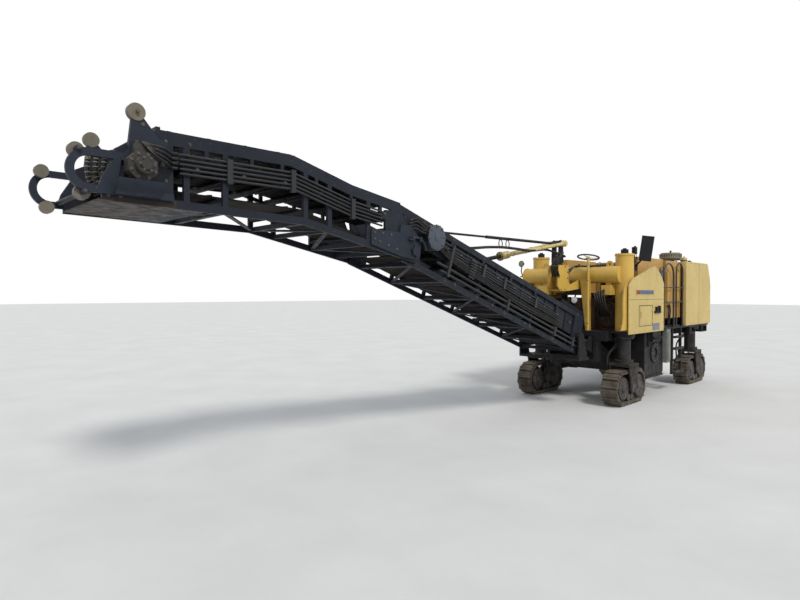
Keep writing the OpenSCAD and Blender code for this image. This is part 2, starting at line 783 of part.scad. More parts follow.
module operator_station() {
    color(col_black) placed() {
        // seat on its post
        post(seat_at, 0, floor_top + seat, seat_low + 20, 60);
        box([seat_at - 250, -seat_half, seat_low], [seat_at + 230, seat_half, seat_low + cushion_h]);
        side_plate(0, 2 * back_half) polygon([
            [seat_at - 210, seat_low + cushion_h - 20], [seat_at - 270, back_top],
            [seat_at - 340, back_top], [seat_at - 300, seat_low + cushion_h - 20]
        ]);
        both_sides() box([seat_at - 150, seat_half + 5, arm_z], [seat_at + 120, arm_out, arm_z + 40]);
        both_sides() box([seat_at - 130, seat_half - 15, seat_low + 30], [seat_at - 90, arm_out,
            arm_z + 30]);
        // side console
        side_plate(console_y, console_w) translate([0, floor_top]) polygon(console_form);
        // wheel on its pole ahead of the cross tube
        post(pole_x, pole_y, pole_top + seat, wheel_z - 10, pole_r);
        translate([pole_x, pole_y, wheel_z]) rotate([0, -12, 0]) {
            rotate_extrude($fn = round_fn) translate([rim_r, 0]) circle(r = rim_wire, $fn = 16);
            for (a = [0, 120, 240]) rotate([0, 0, a]) translate([0, -14, -7]) cube([rim_r, 28, 14]);
            translate([0, 0, -30]) cylinder(h = 50, r = 40, $fn = pipe_fn);
        }
    }
}

rail_y = 1150;
rail_r = 20;
// handrail arches as [front x, rear x, top of the straight parts]
rail_arches = [[-1700, -2320, 2660], [-2480, -2900, 2790], [-3060, -3460, 2800]];
rail_rung_z = [2080, 2420];

module handrails() {
    color(col_grey) placed() for (a = rail_arches) {
        half = (a[0] - a[1]) / 2;
        for (x = [a[0], a[1]]) post(x, rail_y, deck_top + seat, a[2], rail_r);
        translate([a[1] + half, rail_y, a[2]]) rotate([90, 0, 0])
            rotate_extrude(angle = 180, $fn = round_fn) translate([half, 0]) circle(r = rail_r,
                $fn = pipe_fn);
        for (z = rail_rung_z) rod([a[0], rail_y, z], [a[1], rail_y, z], rail_r - 6);
    }
}

ladder_x = [-2700, -2150];
rung_z = [430, 700, 970, 1240];
grate_bars = [1020, 1050, 1080, 1110];
grate_x = [-2850, -1600];
pillar_x = [-2010, -1790];
pillar_in = 1096;

module side_ladder() {
    color(col_grey) placed() {
        for (x = ladder_x) box([x - 20, panel_in - 40, 400], [x + 20, panel_in + 20, deck_low - seat]);
        for (z = rung_z) box([ladder_x[0] + 10, panel_in - 40, z], [ladder_x[1] - 10, body_half_w + 60,
            z + 40]);
        for (z = rung_z) for (k = [0, 1, 2])
            box([ladder_x[0] + 10, panel_in + 15 + 28 * k, z + 39], [ladder_x[1] - 10,
                panel_in + 23 + 28 * k, z + 50]);
        for (y = grate_bars) box([grate_x[0], y - 5, deck_top + seat], [grate_x[1], y + 5,
            deck_top + 32]);
        for (x = [grate_x[0] + 20 : 240 : grate_x[1]]) box([x, 1012, deck_top + seat], [x + 12, 1118,
            deck_top + 26]);
        box([pillar_x[0], pillar_in, 700], [pillar_x[1], body_half_w - 10, deck_low - seat]);
        box([pillar_x[0] + 40, body_half_w - 11, 760], [pillar_x[1] - 40, body_half_w + 10, 1380]);
    }
}

mirror_at = [-430, 1250, 3220];
mirror_half = [25, 120, 262];
mirror_frame = 12;
bracket_x = [-600, -440];

module mirror_arm() {
    color(col_black) placed() {
        rod([-500, 980, 2850], [-430, 1240, 3080], 18);
        box([bracket_x[0] + seat, tank_in + 320, 2780], [bracket_x[1], tank_out, 2900]);
        translate(mirror_at) rotate([-8, -4, 25]) difference() {
            box(-mirror_half, mirror_half);
            box([mirror_half[0] - 6, mirror_frame - mirror_half[1], mirror_frame - mirror_half[2]],
                [mirror_half[0] + 1, mirror_half[1] - mirror_frame, mirror_half[2] - mirror_frame]);
        }
    }
}

cleaner_at = [-3150, 780];
// air pre-cleaner's rings as [low, high, radius]
cleaner_rings = [[0, 60, 90], [55, 75, 240], [70, 110, 225], [105, 125, 258], [120, 195, 248], [190,
    210, 258], [205, 235, 225]];

module air_precleaner() {
    color(col_cream) placed() translate([cleaner_at[0], cleaner_at[1], hood_top + seat])
        for (c = cleaner_rings) post(0, 0, c[0], c[1], c[2]);
}

// caps and pots on the top as [x, y, low, height, radius]
caps = [
    [0, leg_y, column_top + 30 + seat, 90, 75], [0, -leg_y, column_top + 30 + seat, 90, 75],
    [-4300, 850, hood_top + seat, 70, 60], [-3850, 850, hood_top + seat, 90, 60],
    [-4080, 600, hood_top + seat, 60, 45]
];
cap_knob_h = 25;
// boxes below the rear deck as [rear, front] from the rear leg's axis
lamp_boxes = [[-670, -240], [240, 530]];
lamp_box_low = 1290;
lamp_box_in = 950;
lamp_box_out = 1180;
lamp_rim = 25;
lamp_x = tube_x;
lamp_y = -1385;
lamp_z = 2970;
lamp_r = 75;
latch = [-1330, -1010];
sensor_x = rear_x + 600;
valve_low = [-1480, 1225];
valve_in = housing_y + housing_t / 2 + seat;
valve_high = [-1020, 1440];

module fittings() {
    color(col_black) placed() {
        for (c = caps) {
            post(c[0], c[1], c[2], c[2] + c[3], c[4]);
            post(c[0], c[1], c[2] + c[3] - 1, c[2] + c[3] + cap_knob_h, c[4] / 2);
        }
        // lamp boxes with open fronts, under the rear deck
        for (x = lamp_boxes) translate([rear_x, 0, 0]) difference() {
            box([x[0], lamp_box_in, lamp_box_low], [x[1], lamp_box_out, deck_low - seat]);
            box([x[0] + lamp_rim, lamp_box_out - 60, lamp_box_low + lamp_rim],
                [x[1] - lamp_rim, lamp_box_out + 10, deck_low - lamp_rim]);
        }
        // work lamp on its stalk at the tube's right end
        rod([lamp_x, -tube_right - seat, tube_z], [lamp_x, lamp_y - 40, tube_z], 14);
        hose([[lamp_x, lamp_y + 20, tube_z], [lamp_x, lamp_y - 20, tube_z + 120], [lamp_x, lamp_y,
            lamp_z]], 12);
        translate([lamp_x - 40, lamp_y, lamp_z]) rotate([0, 90, 0]) cylinder(h = 70, r1 = 40,
            r2 = lamp_r, $fn = round_fn);
        // latch bracket on the left panel
        box([latch[0], body_half_w + seat, 1850], [latch[1], body_half_w + 30, 1900]);
        box([latch[0] + 60, body_half_w + seat, 1880], [latch[0] + 120, body_half_w + 50, 2010]);
        box([latch[1] - 110, body_half_w + seat, 1880], [latch[1] - 50, body_half_w + 50, 1990]);
        // valve block with hose ends beside the cutter housing
        box([valve_low[0], valve_in, valve_low[1]], [valve_high[0], body_half_w - 30, valve_high[1]]);
        for (x = [valve_low[0] + 60 : 90 : valve_high[0] - 40])
            rod([x, body_half_w - 31, valve_low[1] + 110], [x, body_half_w + 8, valve_low[1] + 60], 22);
        // height sensor's rod beside the rear left track
        rod([sensor_x, body_half_w - 60, 800], [sensor_x, body_half_w - 60, deck_low - 170 - seat], 14);
        box([sensor_x - 40, body_half_w - 100, deck_low - 180], [sensor_x + 40, panel_in - 1,
            deck_low - seat]);
    }
}

// Gathering conveyor under the frame
gath_low = [-700, 640];
gath_high = [590, 1240];
gath_half = 480;
gath_r = 90;
gath_depth = 310;
gath_up = 50;
gath_run = norm(gath_high - gath_low);
gath_angle = atan2(gath_high[1] - gath_low[1], gath_high[0] - gath_low[0]);
hanger_x = [-560, -480];
hanger_z = [850, 930];
gath_ribs = [0.2, 0.4, 0.6, 0.8];

module gathering_conveyor() {
    color(col_black) placed() {
        both_sides() side_plate(gath_half - 10, 20) difference() {
            bar(gath_low + [0, gath_up], gath_high + [0, gath_up], gath_depth);
            translate([0, deck_top - 115]) square([900, 400]);
        }
        both_sides() side_plate(gath_half + 4, 10) bar(gath_low + [0, 165], gath_high + [-120,
            165 - 60], 40);
        for (p = [gath_low, gath_high]) y_rod(p[0], 0, p[1], 2 * gath_half - 20, gath_r - belt_t - seat);
        // hangers that hold the side plates under the frame's front boxes
        both_sides() box([hanger_x[0], gath_half - 20, hanger_z[0]], [hanger_x[1], front_rail_in,
            hanger_z[1]]);
        both_sides() box([hanger_x[0], front_rail_in - 20, hanger_z[0]], [hanger_x[1],
            front_rail_in + 60, frame_low - seat]);
        // pan below the belt
        side_plate(0, 2 * gath_half - 20) bar(gath_low + [80, -72], gath_high + [-120, -165], 12);
    }
}

module run_outline(len, r) {
    circle(r = r, $fn = round_fn);
    translate([len, 0]) circle(r = r, $fn = round_fn);
    translate([0, -r]) square([len, 2 * r]);
}

module gathering_belt() {
    color(col_rubber) placed() side_plate(0, 2 * gath_half - 60)
        translate(gath_low) rotate(gath_angle) difference() {
            run_outline(gath_run, gath_r);
            run_outline(gath_run, gath_r - belt_t);
        }
}

// Discharge conveyor
cheek_y = lower_half_w + 60;
cheek_back = 90;
cheek_front = 110;
cheek_t = 35;
turn_low = nose_low + nose_t + seat;
turn_r = 220;
turn_h = 50;
bridge_t = 50;
bridge_low = turn_low + turn_h - 1;
boom_pin = [slew_x, boom_z];
head_plate_y = 75;
head_plate_half = 70;

module slew_bracket() {
    color(col_black) placed() {
        // turntable, cheeks and lift pins
        post(slew_x, 0, nose_low - 60, turn_low + 10, turn_pin_r);
        post(slew_x, 0, turn_low, turn_low + turn_h, turn_r);
        box([slew_x - 50, -cheek_y - cheek_t, bridge_low],
            [lift_x + cheek_front, cheek_y + cheek_t, bridge_low + bridge_t]);
        both_sides() side_plate(cheek_y + cheek_t / 2, cheek_t) polygon([
            [slew_x, bridge_low], [lift_x + cheek_front, bridge_low], [lift_x + cheek_front, lift_z + 50],
            [lift_x + 50, lift_z + 110], [lift_x - 50, lift_z + 110], [lift_x - cheek_back, lift_z + 50]
        ]);
        both_sides() y_rod(lift_x, lower_half_w + 15, lift_z, 2 * bar_t + 20, lift_pin_r);
        // swivel head on the mast
        post(slew_x, 0, mast_top - 60, mast_top + 20, head_pin_r);
        post(slew_x, 0, mast_top + seat, mast_top + 60, 100);
        both_sides() side_plate(head_plate_y, 30) difference() {
            polygon([
                [slew_x - 90, mast_top + 50], [slew_x + 90, mast_top + 50], [slew_x + head_plate_half,
                    boom_z + 20],
                [slew_x + 30, boom_z + 75], [slew_x - 30, boom_z + 75], [slew_x - head_plate_half,
                    boom_z + 20]
            ]);
            translate(boom_pin) circle(r = boom_pin_r + run_fit, $fn = round_fn);
        }
        box([slew_x - 85, -head_plate_y, mast_top + 50], [slew_x + 85, head_plate_y, mast_top + 90]);
    }
}

lower_origin = [lower_x, lower_z];
// places of the lift eye, the stay's eye and the fold axis along the lower section, as [along, up]
function lower_local(p) = let (d = p - lower_origin)
    [d[0] * cos(slope) + d[1] * sin(slope), -d[0] * sin(slope) + d[1] * cos(slope)];
lift_eye = [3875, 2807];
stay_eye = [5330, 3180];
stay_y = 460;
fold_at = [fold_x, fold_z];
lift_local = lower_local(lift_eye);
stay_local = lower_local(stay_eye);
fold_local = lower_local(fold_at);
lower_side_y = lower_half_w - bar_t / 2;
lower_in = lower_half_w - bar_t;
rail_h = 90;
chord_h = 80;
top_start = 60;
top_end = 5530;
chord_end = 5240;
lower_posts = [330, 1130, 1930, 2730, 3530, 4330, 5000];
lower_idlers = [600, 1100, 1600, 2100, 2600, 3100, 3600, 4100, 4600, 5050];
idler_r = 40;
return_r = 30;
post_w = 60;
skirt_low = 330;
skirt_t = 8;
rib_w = 30;
belt_low = 110;
belt_high = 560;
tail_at = 300;
belt_mid = (belt_low + belt_high + belt_t) / 2;
belt_half = (belt_high + belt_t - belt_low) / 2;
belt_end = 5150;
brace_t = 16;
brace_w = 50;
cross_low = 12;
cross_h = 55;
lug_gap = 30;
lug_t = 24;

// height of the top rail's upper face along the section
function rail_z(u) = tail_depth + (fold_depth - tail_depth) * u / top_end;

module lower_place() {
    translate([lower_origin[0], 0, lower_origin[1]]) rotate([0, -slope, 0]) children();
}

module lower_frame() {
    color(col_black) placed() difference() {
        lower_place() {
            both_sides() side_plate(lower_side_y, bar_t) {
                bar([top_start, rail_z(top_start) - rail_h / 2], [top_end, rail_z(top_end)
                    - rail_h / 2], rail_h);
                translate([top_start, 0]) square([chord_end - top_start, chord_h]);
                for (u = lower_posts) translate([u - post_w / 2, 10]) square([post_w, rail_z(u) - 20]);
                // end plates round the lift pins and the fold pins
                polygon([[top_start, 0], [420, 0], [420, rail_z(420) - 20], [top_start,
                    rail_z(top_start) - 20]]);
                polygon([
                    [4900, 10], [chord_end, 10], [fold_local[0] + 110, fold_local[1] - 60],
                        [fold_local[0] + 110, fold_local[1] + 60],
                    [top_end - 90, rail_z(top_end) - 60], [top_end - 260, rail_z(top_end) - 60], [4960,
                        330]
                ]);
            }
            // skirts inside the side frames, with ribs
            both_sides() side_plate(lower_in - skirt_t / 2 + 1, skirt_t) polygon([
                [400, skirt_low], [5000, skirt_low], [5400, rail_z(5400) - 40], [400, rail_z(400) - 40]
            ]);
            for (i = [0 : len(lower_posts) - 2]) let (u = (lower_posts[i] + lower_posts[i + 1]) / 2)
                both_sides() side_plate(lower_in + 10, 20)
                    translate([u - rib_w / 2, skirt_low]) square([rib_w, rail_z(u) - 20 - skirt_low]);
            // cross bars and the zigzag between them in the bottom
            for (u = lower_posts) box([u - post_w / 2, -lower_in - 1, cross_low], [u + post_w / 2,
                lower_in + 1, cross_low + cross_h]);
            for (i = [0 : len(lower_posts) - 2]) let (side = i % 2 == 0 ? 1 : -1)
                translate([0, 0, cross_low + 10]) linear_extrude(brace_t) bar(
                    [lower_posts[i], side * (lower_in - 10)], [lower_posts[i + 1],
                        side * (10 - lower_in)], brace_w);
            for (u = lower_idlers) y_rod(u, 0, belt_high - idler_r - seat, 2 * lower_in + 2, idler_r);
            for (i = [1 : 2 : len(lower_idlers) - 2])
                y_rod(lower_idlers[i], 0, belt_low - seat - return_r, 2 * lower_in + 2, return_r);
            y_rod(tail_at, 0, belt_mid, belt_w, belt_half - belt_t - seat);
            y_rod(tail_at, 0, belt_mid, 2 * lower_in + 2, idler_r);
            // cross beam and lugs of the lift eye
            box([lift_local[0] - 60, -lower_in - 1, rail_z(lift_local[0]) - 60],
                [lift_local[0] + 60, lower_in + 1, rail_z(lift_local[0]) - 10]);
            both_sides() side_plate(lug_gap + 10 + lug_t / 2, lug_t)
                translate([lift_local[0] - 90, rail_z(lift_local[0]) - 30]) square([180,
                    lift_local[1] - rail_z(lift_local[0]) + 90]);
            // bracket and lugs of the stay's eye at the left rail
            box([stay_local[0] - 50, stay_y - 80, stay_local[1] - 100], [stay_local[0] + 50,
                lower_in + 1, stay_local[1] - 72]);
            box([stay_local[0] - 40, stay_y - 80, stay_local[1] - 90], [stay_local[0] + 40,
                stay_y - 64, stay_local[1] + 20]);
            // hopper plates over the tail
            both_sides() translate([0, lower_in - 30, rail_z(300) - 60]) rotate([-28, 0, 0])
                box([120, -6, 0], [1000, 6, 150]);
            box([top_start, -lower_in, 500], [top_start + 12, lower_in, rail_z(0) - 20]);
        }
        both_sides() y_rod(lift_x, lower_side_y, lift_z, bar_t + 30, lift_pin_r + run_fit);
        both_sides() y_rod(fold_x, lower_side_y, fold_z, bar_t + 30, fold_pin_r + run_fit);
    }
}

module open_run(x0, x1, z0, z1) {
    r = (z1 - z0) / 2;
    difference() {
        union() {
            translate([x0, z0 + r]) circle(r = r, $fn = 64);
            translate([x0, z0]) square([x1 - x0, 2 * r]);
        }
        translate([x0, z0 + r]) circle(r = r - belt_t, $fn = 64);
        translate([x0, z0 + belt_t]) square([x1 - x0 + 1, 2 * r - 2 * belt_t]);
    }
}

module lower_belt() {
    color(col_rubber) placed() lower_place() side_plate(0, belt_w)
        open_run(tail_at, belt_end, belt_low, belt_high + belt_t);
}

// tubes along the lower section's left side as [up, start, end, radius]
lower_tubes = [
    [140, 120, 4500, 19], [228, 120, 4600, 19], [430, 900, 4600, 11], [468, 900, 4600, 11],
    [506, 900, 4600, 11], [560, 1300, 4640, 13]
];
// clamps on them as [along, low, high]
lower_clamps = [
    [420, 100, 275], [1130, 100, 275], [1930, 395, 590], [2730, 100, 275], [2930, 395, 590],
    [3530, 395, 590], [4330, 100, 590]
];
line_out = 22;
clamp_w = 50;
clamp_t = 48;
fin_rows = 7;
fin_at = [3830, 250];
box_at = [4815, 505];
box_r = 190;
box_out = 120;

module lower_lines() {
    color(col_grey) placed() lower_place() {
        for (t = lower_tubes) rod([t[1], lower_half_w + line_out, t[0]], [t[2],
            lower_half_w + line_out, t[0]], t[3]);
        for (c = lower_clamps)
            box([c[0] - clamp_w / 2, lower_half_w + seat, c[1]], [c[0] + clamp_w / 2,
                lower_half_w + clamp_t, c[2]]);
        // stack of short bars that hold the hoses
        box([fin_at[0] - 15, lower_half_w + clamp_t - 20, fin_at[1]], [fin_at[0] + 15,
            lower_half_w + clamp_t, fin_at[1] + 300]);
        for (i = [0 : fin_rows - 1]) rod([fin_at[0] - 70, lower_half_w + clamp_t + 8,
            fin_at[1] + 20 + 42 * i],
            [fin_at[0] + 70, lower_half_w + clamp_t + 8, fin_at[1] + 20 + 42 * i], 13);
        // eight-sided box and the cap on the rail above it
        translate([box_at[0], lower_half_w + seat, box_at[1]]) rotate([-90, 0, 0]) linear_extrude(box_out)
            rotate(slope + 22.5) circle(r = box_r, $fn = 8);
    }
}

upper_side_y = upper_half_w - bar_t / 2;
upper_in = upper_half_w - bar_t;
hinge_t = 24;
hinge_y = upper_half_w + seat + hinge_t / 2;
hinge_form = [
    [6740, 3095], [6740, 2900], [6200, 2768], [5930, 2740], [5850, 2790], [5835, 2900],
    [5870, 3030], [5960, 3150], [6060, 3195], [6210, 3195], [6240, 3090]
];
hinge_bolts = 6;
hinge_bolt_ring = 75;
loop_r = 190;

module fold_hinge() {
    color(col_steel) placed() {
        both_sides() side_plate(hinge_y, hinge_t) polygon(hinge_form);
        both_sides() y_rod(fold_x, (lower_in + hinge_y) / 2, fold_z, hinge_y - lower_in, fold_pin_r);
        both_sides() y_rod(fold_x, hinge_y + 20, fold_z, hinge_t + 16, fold_pin_r + 18);
        both_sides() for (i = [0 : hinge_bolts - 1]) y_rod(fold_x + hinge_bolt_ring * cos(i * 60 + 20),
            hinge_y + 14,
            fold_z + hinge_bolt_ring * sin(i * 60 + 20), hinge_t, 11);
        // hoses clipped round the hinge
        for (k = [0, 1]) translate([fold_x, hinge_y + hinge_t / 2 + 14 + 20 * k, fold_z]) rotate([90,
            0, 0])
            rotate([0, 0, 50]) rotate_extrude(angle = 125, $fn = 64) translate([loop_r - 8 * k, 0])
                circle(r = 15, $fn = pipe_fn);
        translate([fold_x, hinge_y, fold_z]) for (a = [-65, -115])
            rotate([0, a, 0]) box([loop_r - 40, 0, -18], [loop_r + 22, hinge_t / 2 + 52, 18]);
    }
}

// edges of the upper section in side view, as [x, z]
upper_top = [[6215, 3480], [7050, 3605], [7910, 3820], [9390, 3797]];
upper_low = [[5880, 2690], [7730, 3058], [9850, 3092]];
upper_posts = [6330, 6770, 7380, 7720, 8700, 9100];
short_posts = [6560, 7050, 7570, 8030, 8400, 8900];
short_len = 260;
mid_rail_h = 45;
// corners of the rail at mid height
mid_x_at = [6330, 7050, 7910, 9300];
band_h = 130;
cover_t = 12;
upper_idlers = [6500, 7000, 7500, 8000, 8500, 9000, 9330];
upper_returns = [6770, 7720, 8700];
belt_start = 6080;
upper_bend = 7700;
// the carrying and return runs of the belt, as [x, z] of their middle lines
carry_line = [[belt_start, 3290], [upper_bend, 3545], [head_x + 8, head_z + head_r + seat + belt_t / 2]];
return_line = [[belt_start, 2860], [upper_bend, 3255], [head_x + 8, head_z - head_r - seat - belt_t / 2]];
idler_drop = (idler_r + belt_t / 2 + seat) / cos(14);
return_drop = (return_r + belt_t / 2 + seat) / cos(14);
head_plate = [[9230, 3100], [9850, 3096], [9850, 3180], [9740, 3300], [9740, 3560], [9480, 3700],
    [9390, 3790], [9230, 3790]];
head_shaft_r = 40;
pan = [[8900, 3085], [9860, 3108]];
brace_x = [[6330, 6770], [6770, 7380], [7380, 7720], [7720, 8700], [8700, 9100]];

function edge_z(pts, x) = lookup(x, pts);
function mid_z(x) = edge_z(upper_top, x) - short_len;

module upper_frame() {
    color(col_black) placed() difference() {
        union() {
            both_sides() side_plate(upper_side_y, bar_t) {
                for (i = [0 : len(upper_top) - 2])
                    bar(upper_top[i] - [0, band_h / 2], upper_top[i + 1] - [0, band_h / 2], band_h);
                for (i = [0 : len(upper_low) - 2])
                    bar(upper_low[i] + [0, chord_h / 2], upper_low[i + 1] + [0, chord_h / 2], chord_h);
                for (x = upper_posts) translate([x - post_w / 2, edge_z(upper_low, x) + 10])
                    square([post_w, edge_z(upper_top, x) - edge_z(upper_low, x) - 30]);
                for (x = short_posts) translate([x - 20, mid_z(x)]) square([40, short_len - 30]);
                for (i = [0 : len(mid_x_at) - 2]) let (a = mid_x_at[i], b = mid_x_at[i + 1])
                    bar([a, mid_z(a)], [b, mid_z(b)], mid_rail_h);
                // hangers that hold the belt's rollers
                for (x = upper_idlers) translate([x - idler_r, edge_z(carry_line, x) - idler_drop - idler_r])
                    square([2 * idler_r, mid_z(x) - edge_z(carry_line, x) + idler_drop + idler_r]);
                // end plates round the fold pins and the head shaft
                polygon([
                    [5880, 2700], [6480, 2812], [6480, 3360], [6240, 3380], [6215, 3470], [6150, 3300],
                    [5960, 2960], [5860, 2900]
                ]);
                polygon(head_plate);
            }
            for (x = upper_posts) box([x - post_w / 2, -upper_in - 1, edge_z(upper_low, x) + 12],
                [x + post_w / 2, upper_in + 1, edge_z(upper_low, x) + 12 + cross_h]);
            for (i = [0 : len(brace_x) - 1])
                let (b = brace_x[i], z0 = edge_z(upper_low, b[0]), z1 = edge_z(upper_low, b[1]))
                let (side = i % 2 == 0 ? 1 : -1, tilt = atan2(z1 - z0, b[1] - b[0]))
                translate([b[0], 0, z0 + 22]) rotate([0, -tilt, 0]) linear_extrude(brace_t)
                    bar([0, side * (upper_in - 10)],
                        [(b[1] - b[0]) / cos(tilt), side * (10 - upper_in)], brace_w);
            for (x = upper_idlers)
                y_rod(x, 0, edge_z(carry_line, x) - idler_drop, 2 * upper_in + 2, idler_r);
            for (x = upper_returns)
                y_rod(x, 0, edge_z(return_line, x) - return_drop, 2 * upper_in + 2, return_r);
            // top cover, its lip at the head and the pan below the head
            for (i = [0 : len(upper_top) - 2]) side_plate(0, 2 * upper_in + 2)
                bar(upper_top[i] - [0, cover_t / 2], upper_top[i + 1] - [0, cover_t / 2], cover_t);
            box([upper_top[3][0] - 40, -upper_half_w, upper_top[3][1] - 20],
                [upper_top[3][0], upper_half_w, upper_top[3][1] + 25]);
            side_plate(0, 2 * upper_in + 2) bar(pan[0], pan[1], cover_t);
        }
        both_sides() y_rod(fold_x, upper_side_y, fold_z, bar_t + 20, fold_pin_r + seat);
        both_sides() y_rod(head_x, upper_side_y, head_z, bar_t + 20, head_shaft_r + seat);
    }
}

module upper_belt() {
    color(col_rubber) placed() side_plate(0, belt_w) {
        for (line = [carry_line, return_line]) {
            bar(line[0], line[1], belt_t);
            bar(line[1] - [2, 0], line[2], belt_t);
        }
        difference() {
            translate([head_x, head_z]) circle(r = head_r + seat + belt_t, $fn = 64);
            translate([head_x, head_z]) circle(r = head_r + seat, $fn = 64);
            translate([head_x - 200, head_z - 200]) square([200, 400]);
        }
    }
}

guard_t = 40;
guard_in = upper_half_w + seat;
guard_out = guard_in + guard_t;
gearbox_r = 135;
gearbox_len = 120;
motor_out = 190;

module head_drive() {
    color(col_grey) placed() {
        y_rod(head_x, 0, head_z, belt_w - 20, head_r);
        y_rod(head_x, 0, head_z, 2 * (guard_out + 4), head_shaft_r);
        y_rod(head_x, -guard_out - seat - 13, head_z, 26, 85);
        // gearbox, motor and valve block on the left
        translate([head_x, guard_out + seat, head_z]) rotate([-90, 0, 0]) linear_extrude(gearbox_len)
            rotate(22.5) circle(r = gearbox_r, $fn = 8);
        y_rod(head_x, guard_out + (gearbox_len + motor_out) / 2, head_z, motor_out - gearbox_len + 10, 78);
        y_rod(head_x, guard_out + motor_out + 8, head_z, 30, 45);
        box([head_x - 75, guard_out + 20, head_z + gearbox_r - 15],
            [head_x + 60, guard_out + 90, head_z + gearbox_r + 65]);
        for (x = [-45, 30])
            post(head_x + x, guard_out + 55, head_z + gearbox_r + 60, head_z + gearbox_r + 95, 18);
    }
}

// hook outline, a C open towards the machine with a roller at each end
arm_w = 66;
arm_back = 9240;
top_arm_back = 9460;
arm_off = (hook_r + hook_hole) / 2;
hook_rollers = [[95, 165], [50, -190]];
roller_w = 62;
disc_hook_r = 64;
post_form = [
    [9300, 3560], [9400, 3476], [9700, 3476], [9650, 3560], [9612, 3890], [9536, 3890],
    [9370, 3690], [9300, 3680]
];
post_roller = [9576, 3903];
post_roller_r = 78;
scoop_r = 150;
scoop_t = 12;
scoop_x = [9370, 9770];
scoop_z = 3296;

module hook() {
    translate([hook_x, hook_z]) difference() {
        circle(r = hook_r, $fn = 64);
        circle(r = hook_hole, $fn = 64);
        translate([-hook_r - 1, -hook_r - 1]) square([hook_r - 20, 2 * hook_r + 2]);
    }
    translate([hook_x - 21, hook_z]) for (side = [-1, 1]) translate([-60, side * arm_off - arm_w / 2])
        square([61, arm_w]);
}

module head_guards() {
    color(col_black) placed() {
        both_sides() side_plate(guard_in + guard_t / 2, guard_t) {
            hook();
            bar([arm_back, hook_z - arm_off], [hook_x - 60, hook_z - arm_off], arm_w);
            bar([top_arm_back, hook_z + arm_off], [hook_x - 60, hook_z + arm_off], arm_w);
            polygon(post_form);
            polygon([[9640, 3160], [9900, 3160], [9860, 3290], [9760, 3460], [9700, 3490], [9725, 3300]]);
        }
        // rollers on the hooks and on the posts, each on its axle
        both_sides() for (p = hook_rollers) {
            y_rod(hook_x + p[0], guard_in - 10 - roller_w / 2, hook_z + p[1], roller_w, disc_hook_r);
            y_rod(hook_x + p[0], guard_in, hook_z + p[1], 2 * guard_t + 20, 24);
        }
        both_sides() y_rod(post_roller[0], guard_in + guard_t / 2, post_roller[1], roller_w, post_roller_r);
        // curved scoop plates below the motor
        both_sides() translate([scoop_x[0], guard_out - 2, scoop_z]) rotate([90, 0, 90])
            linear_extrude(scoop_x[1] - scoop_x[0])
            difference() {
                circle(r = scoop_r, $fn = 64);
                circle(r = scoop_r - scoop_t, $fn = 64);
                translate([-scoop_r - 1, -scoop_r - 1]) square([scoop_r + 1, 2 * scoop_r + 2]);
                translate([-1, -20]) square([scoop_r + 2, scoop_r + 30]);
            }
        // bar between the hooks' plates
        y_rod(hook_x - 60, 0, hook_z - arm_off + 20, 2 * guard_in + 10, 26);
    }
}

// lines along the upper section's left side, at these depths below its top edge
line_drops = [205, 250, 295, 340, 385];
line_x = [9180, 7910, 7050, 6560];
line_r = 12;
// clamps, two of them round the lines' bends
line_clamps = [line_x[2], line_x[1], 8670];
clamp_low = 420;
clamp_high = 175;

module upper_lines() {
    color(col_grey) placed() {
        for (d = line_drops) for (i = [0 : len(line_x) - 2])
            rod([line_x[i], upper_half_w + line_out, edge_z(upper_top, line_x[i]) - d],
                [line_x[i + 1], upper_half_w + line_out, edge_z(upper_top, line_x[i + 1]) - d], line_r);
        for (x = line_clamps) box([x - 30, upper_half_w + seat, edge_z(upper_top, x) - clamp_low],
            [x + 30, upper_half_w + 45, edge_z(upper_top, x) - clamp_high]);
    }
}

eye_vec = lift_eye - boom_pin;
boom_angle = atan2(eye_vec[1], eye_vec[0]);
eye_len = norm(eye_vec);
boom_root_y = 150;
boom_tip_y = 55;
boom_bar_r = 34;
boom_sleeve_r = 70;
boom_sleeve = 260;
boom_braces = [500, 1100, 1600];
rod_back = 900;
eye_half = 24;

module boom_place() {
    translate([boom_pin[0], 0, boom_pin[1]]) rotate([0, -boom_angle, 0]) children();
}

module lift_boom() {
    color(col_yellow) placed() boom_place() difference() {
        union() {
            both_sides() rod([0, boom_root_y, 0], [boom_len - 150, boom_tip_y, 0], boom_bar_r);
            both_sides() y_rod(0, boom_root_y, 0, 70, boom_pin_r + 20);
            y_rod(0, 0, 0, 2 * boom_root_y + 110, boom_pin_r);
            for (u = boom_braces) let (y = boom_root_y + (boom_tip_y - boom_root_y)
                * u / (boom_len - 150))
                box([u - 35, -y, -12], [u + 35, y, 12]);
            rod([boom_len - boom_sleeve, 0, 0], [boom_len, 0, 0], boom_sleeve_r);
            rod([boom_len - 30, 0, 0], [boom_len, 0, 0], boom_sleeve_r + 14);
        }
        rod([boom_len - rod_back - 200, 0, 0], [boom_len + 50, 0, 0], lift_rod_r + run_fit);
    }
}

module lift_rod() {
    color(col_black) placed() boom_place() {
        rod([boom_len - rod_back, 0, 0], [eye_len - 30, 0, 0], lift_rod_r);
        y_rod(eye_len, 0, 0, 2 * eye_half, 50);
    }
}

// the hose stay from the swivel head to the left rail, as a tube with a rod that slides in it
stay_from = [boom_pin[0], 0, boom_pin[1]];
stay_to = [stay_eye[0], stay_y, stay_eye[1]];
stay_vec = stay_to - stay_from;
stay_len = norm(stay_vec);
stay_dir = stay_vec / stay_len;
stay_start = 100;
stay_tube_end = 2900;
stay_rod_start = 2300;
stay_eye_r = 34;
stay_eye_half = 22;
stay_ring_half = 48;
hanger_s = [2150, 2400];
hanger_r = 70;

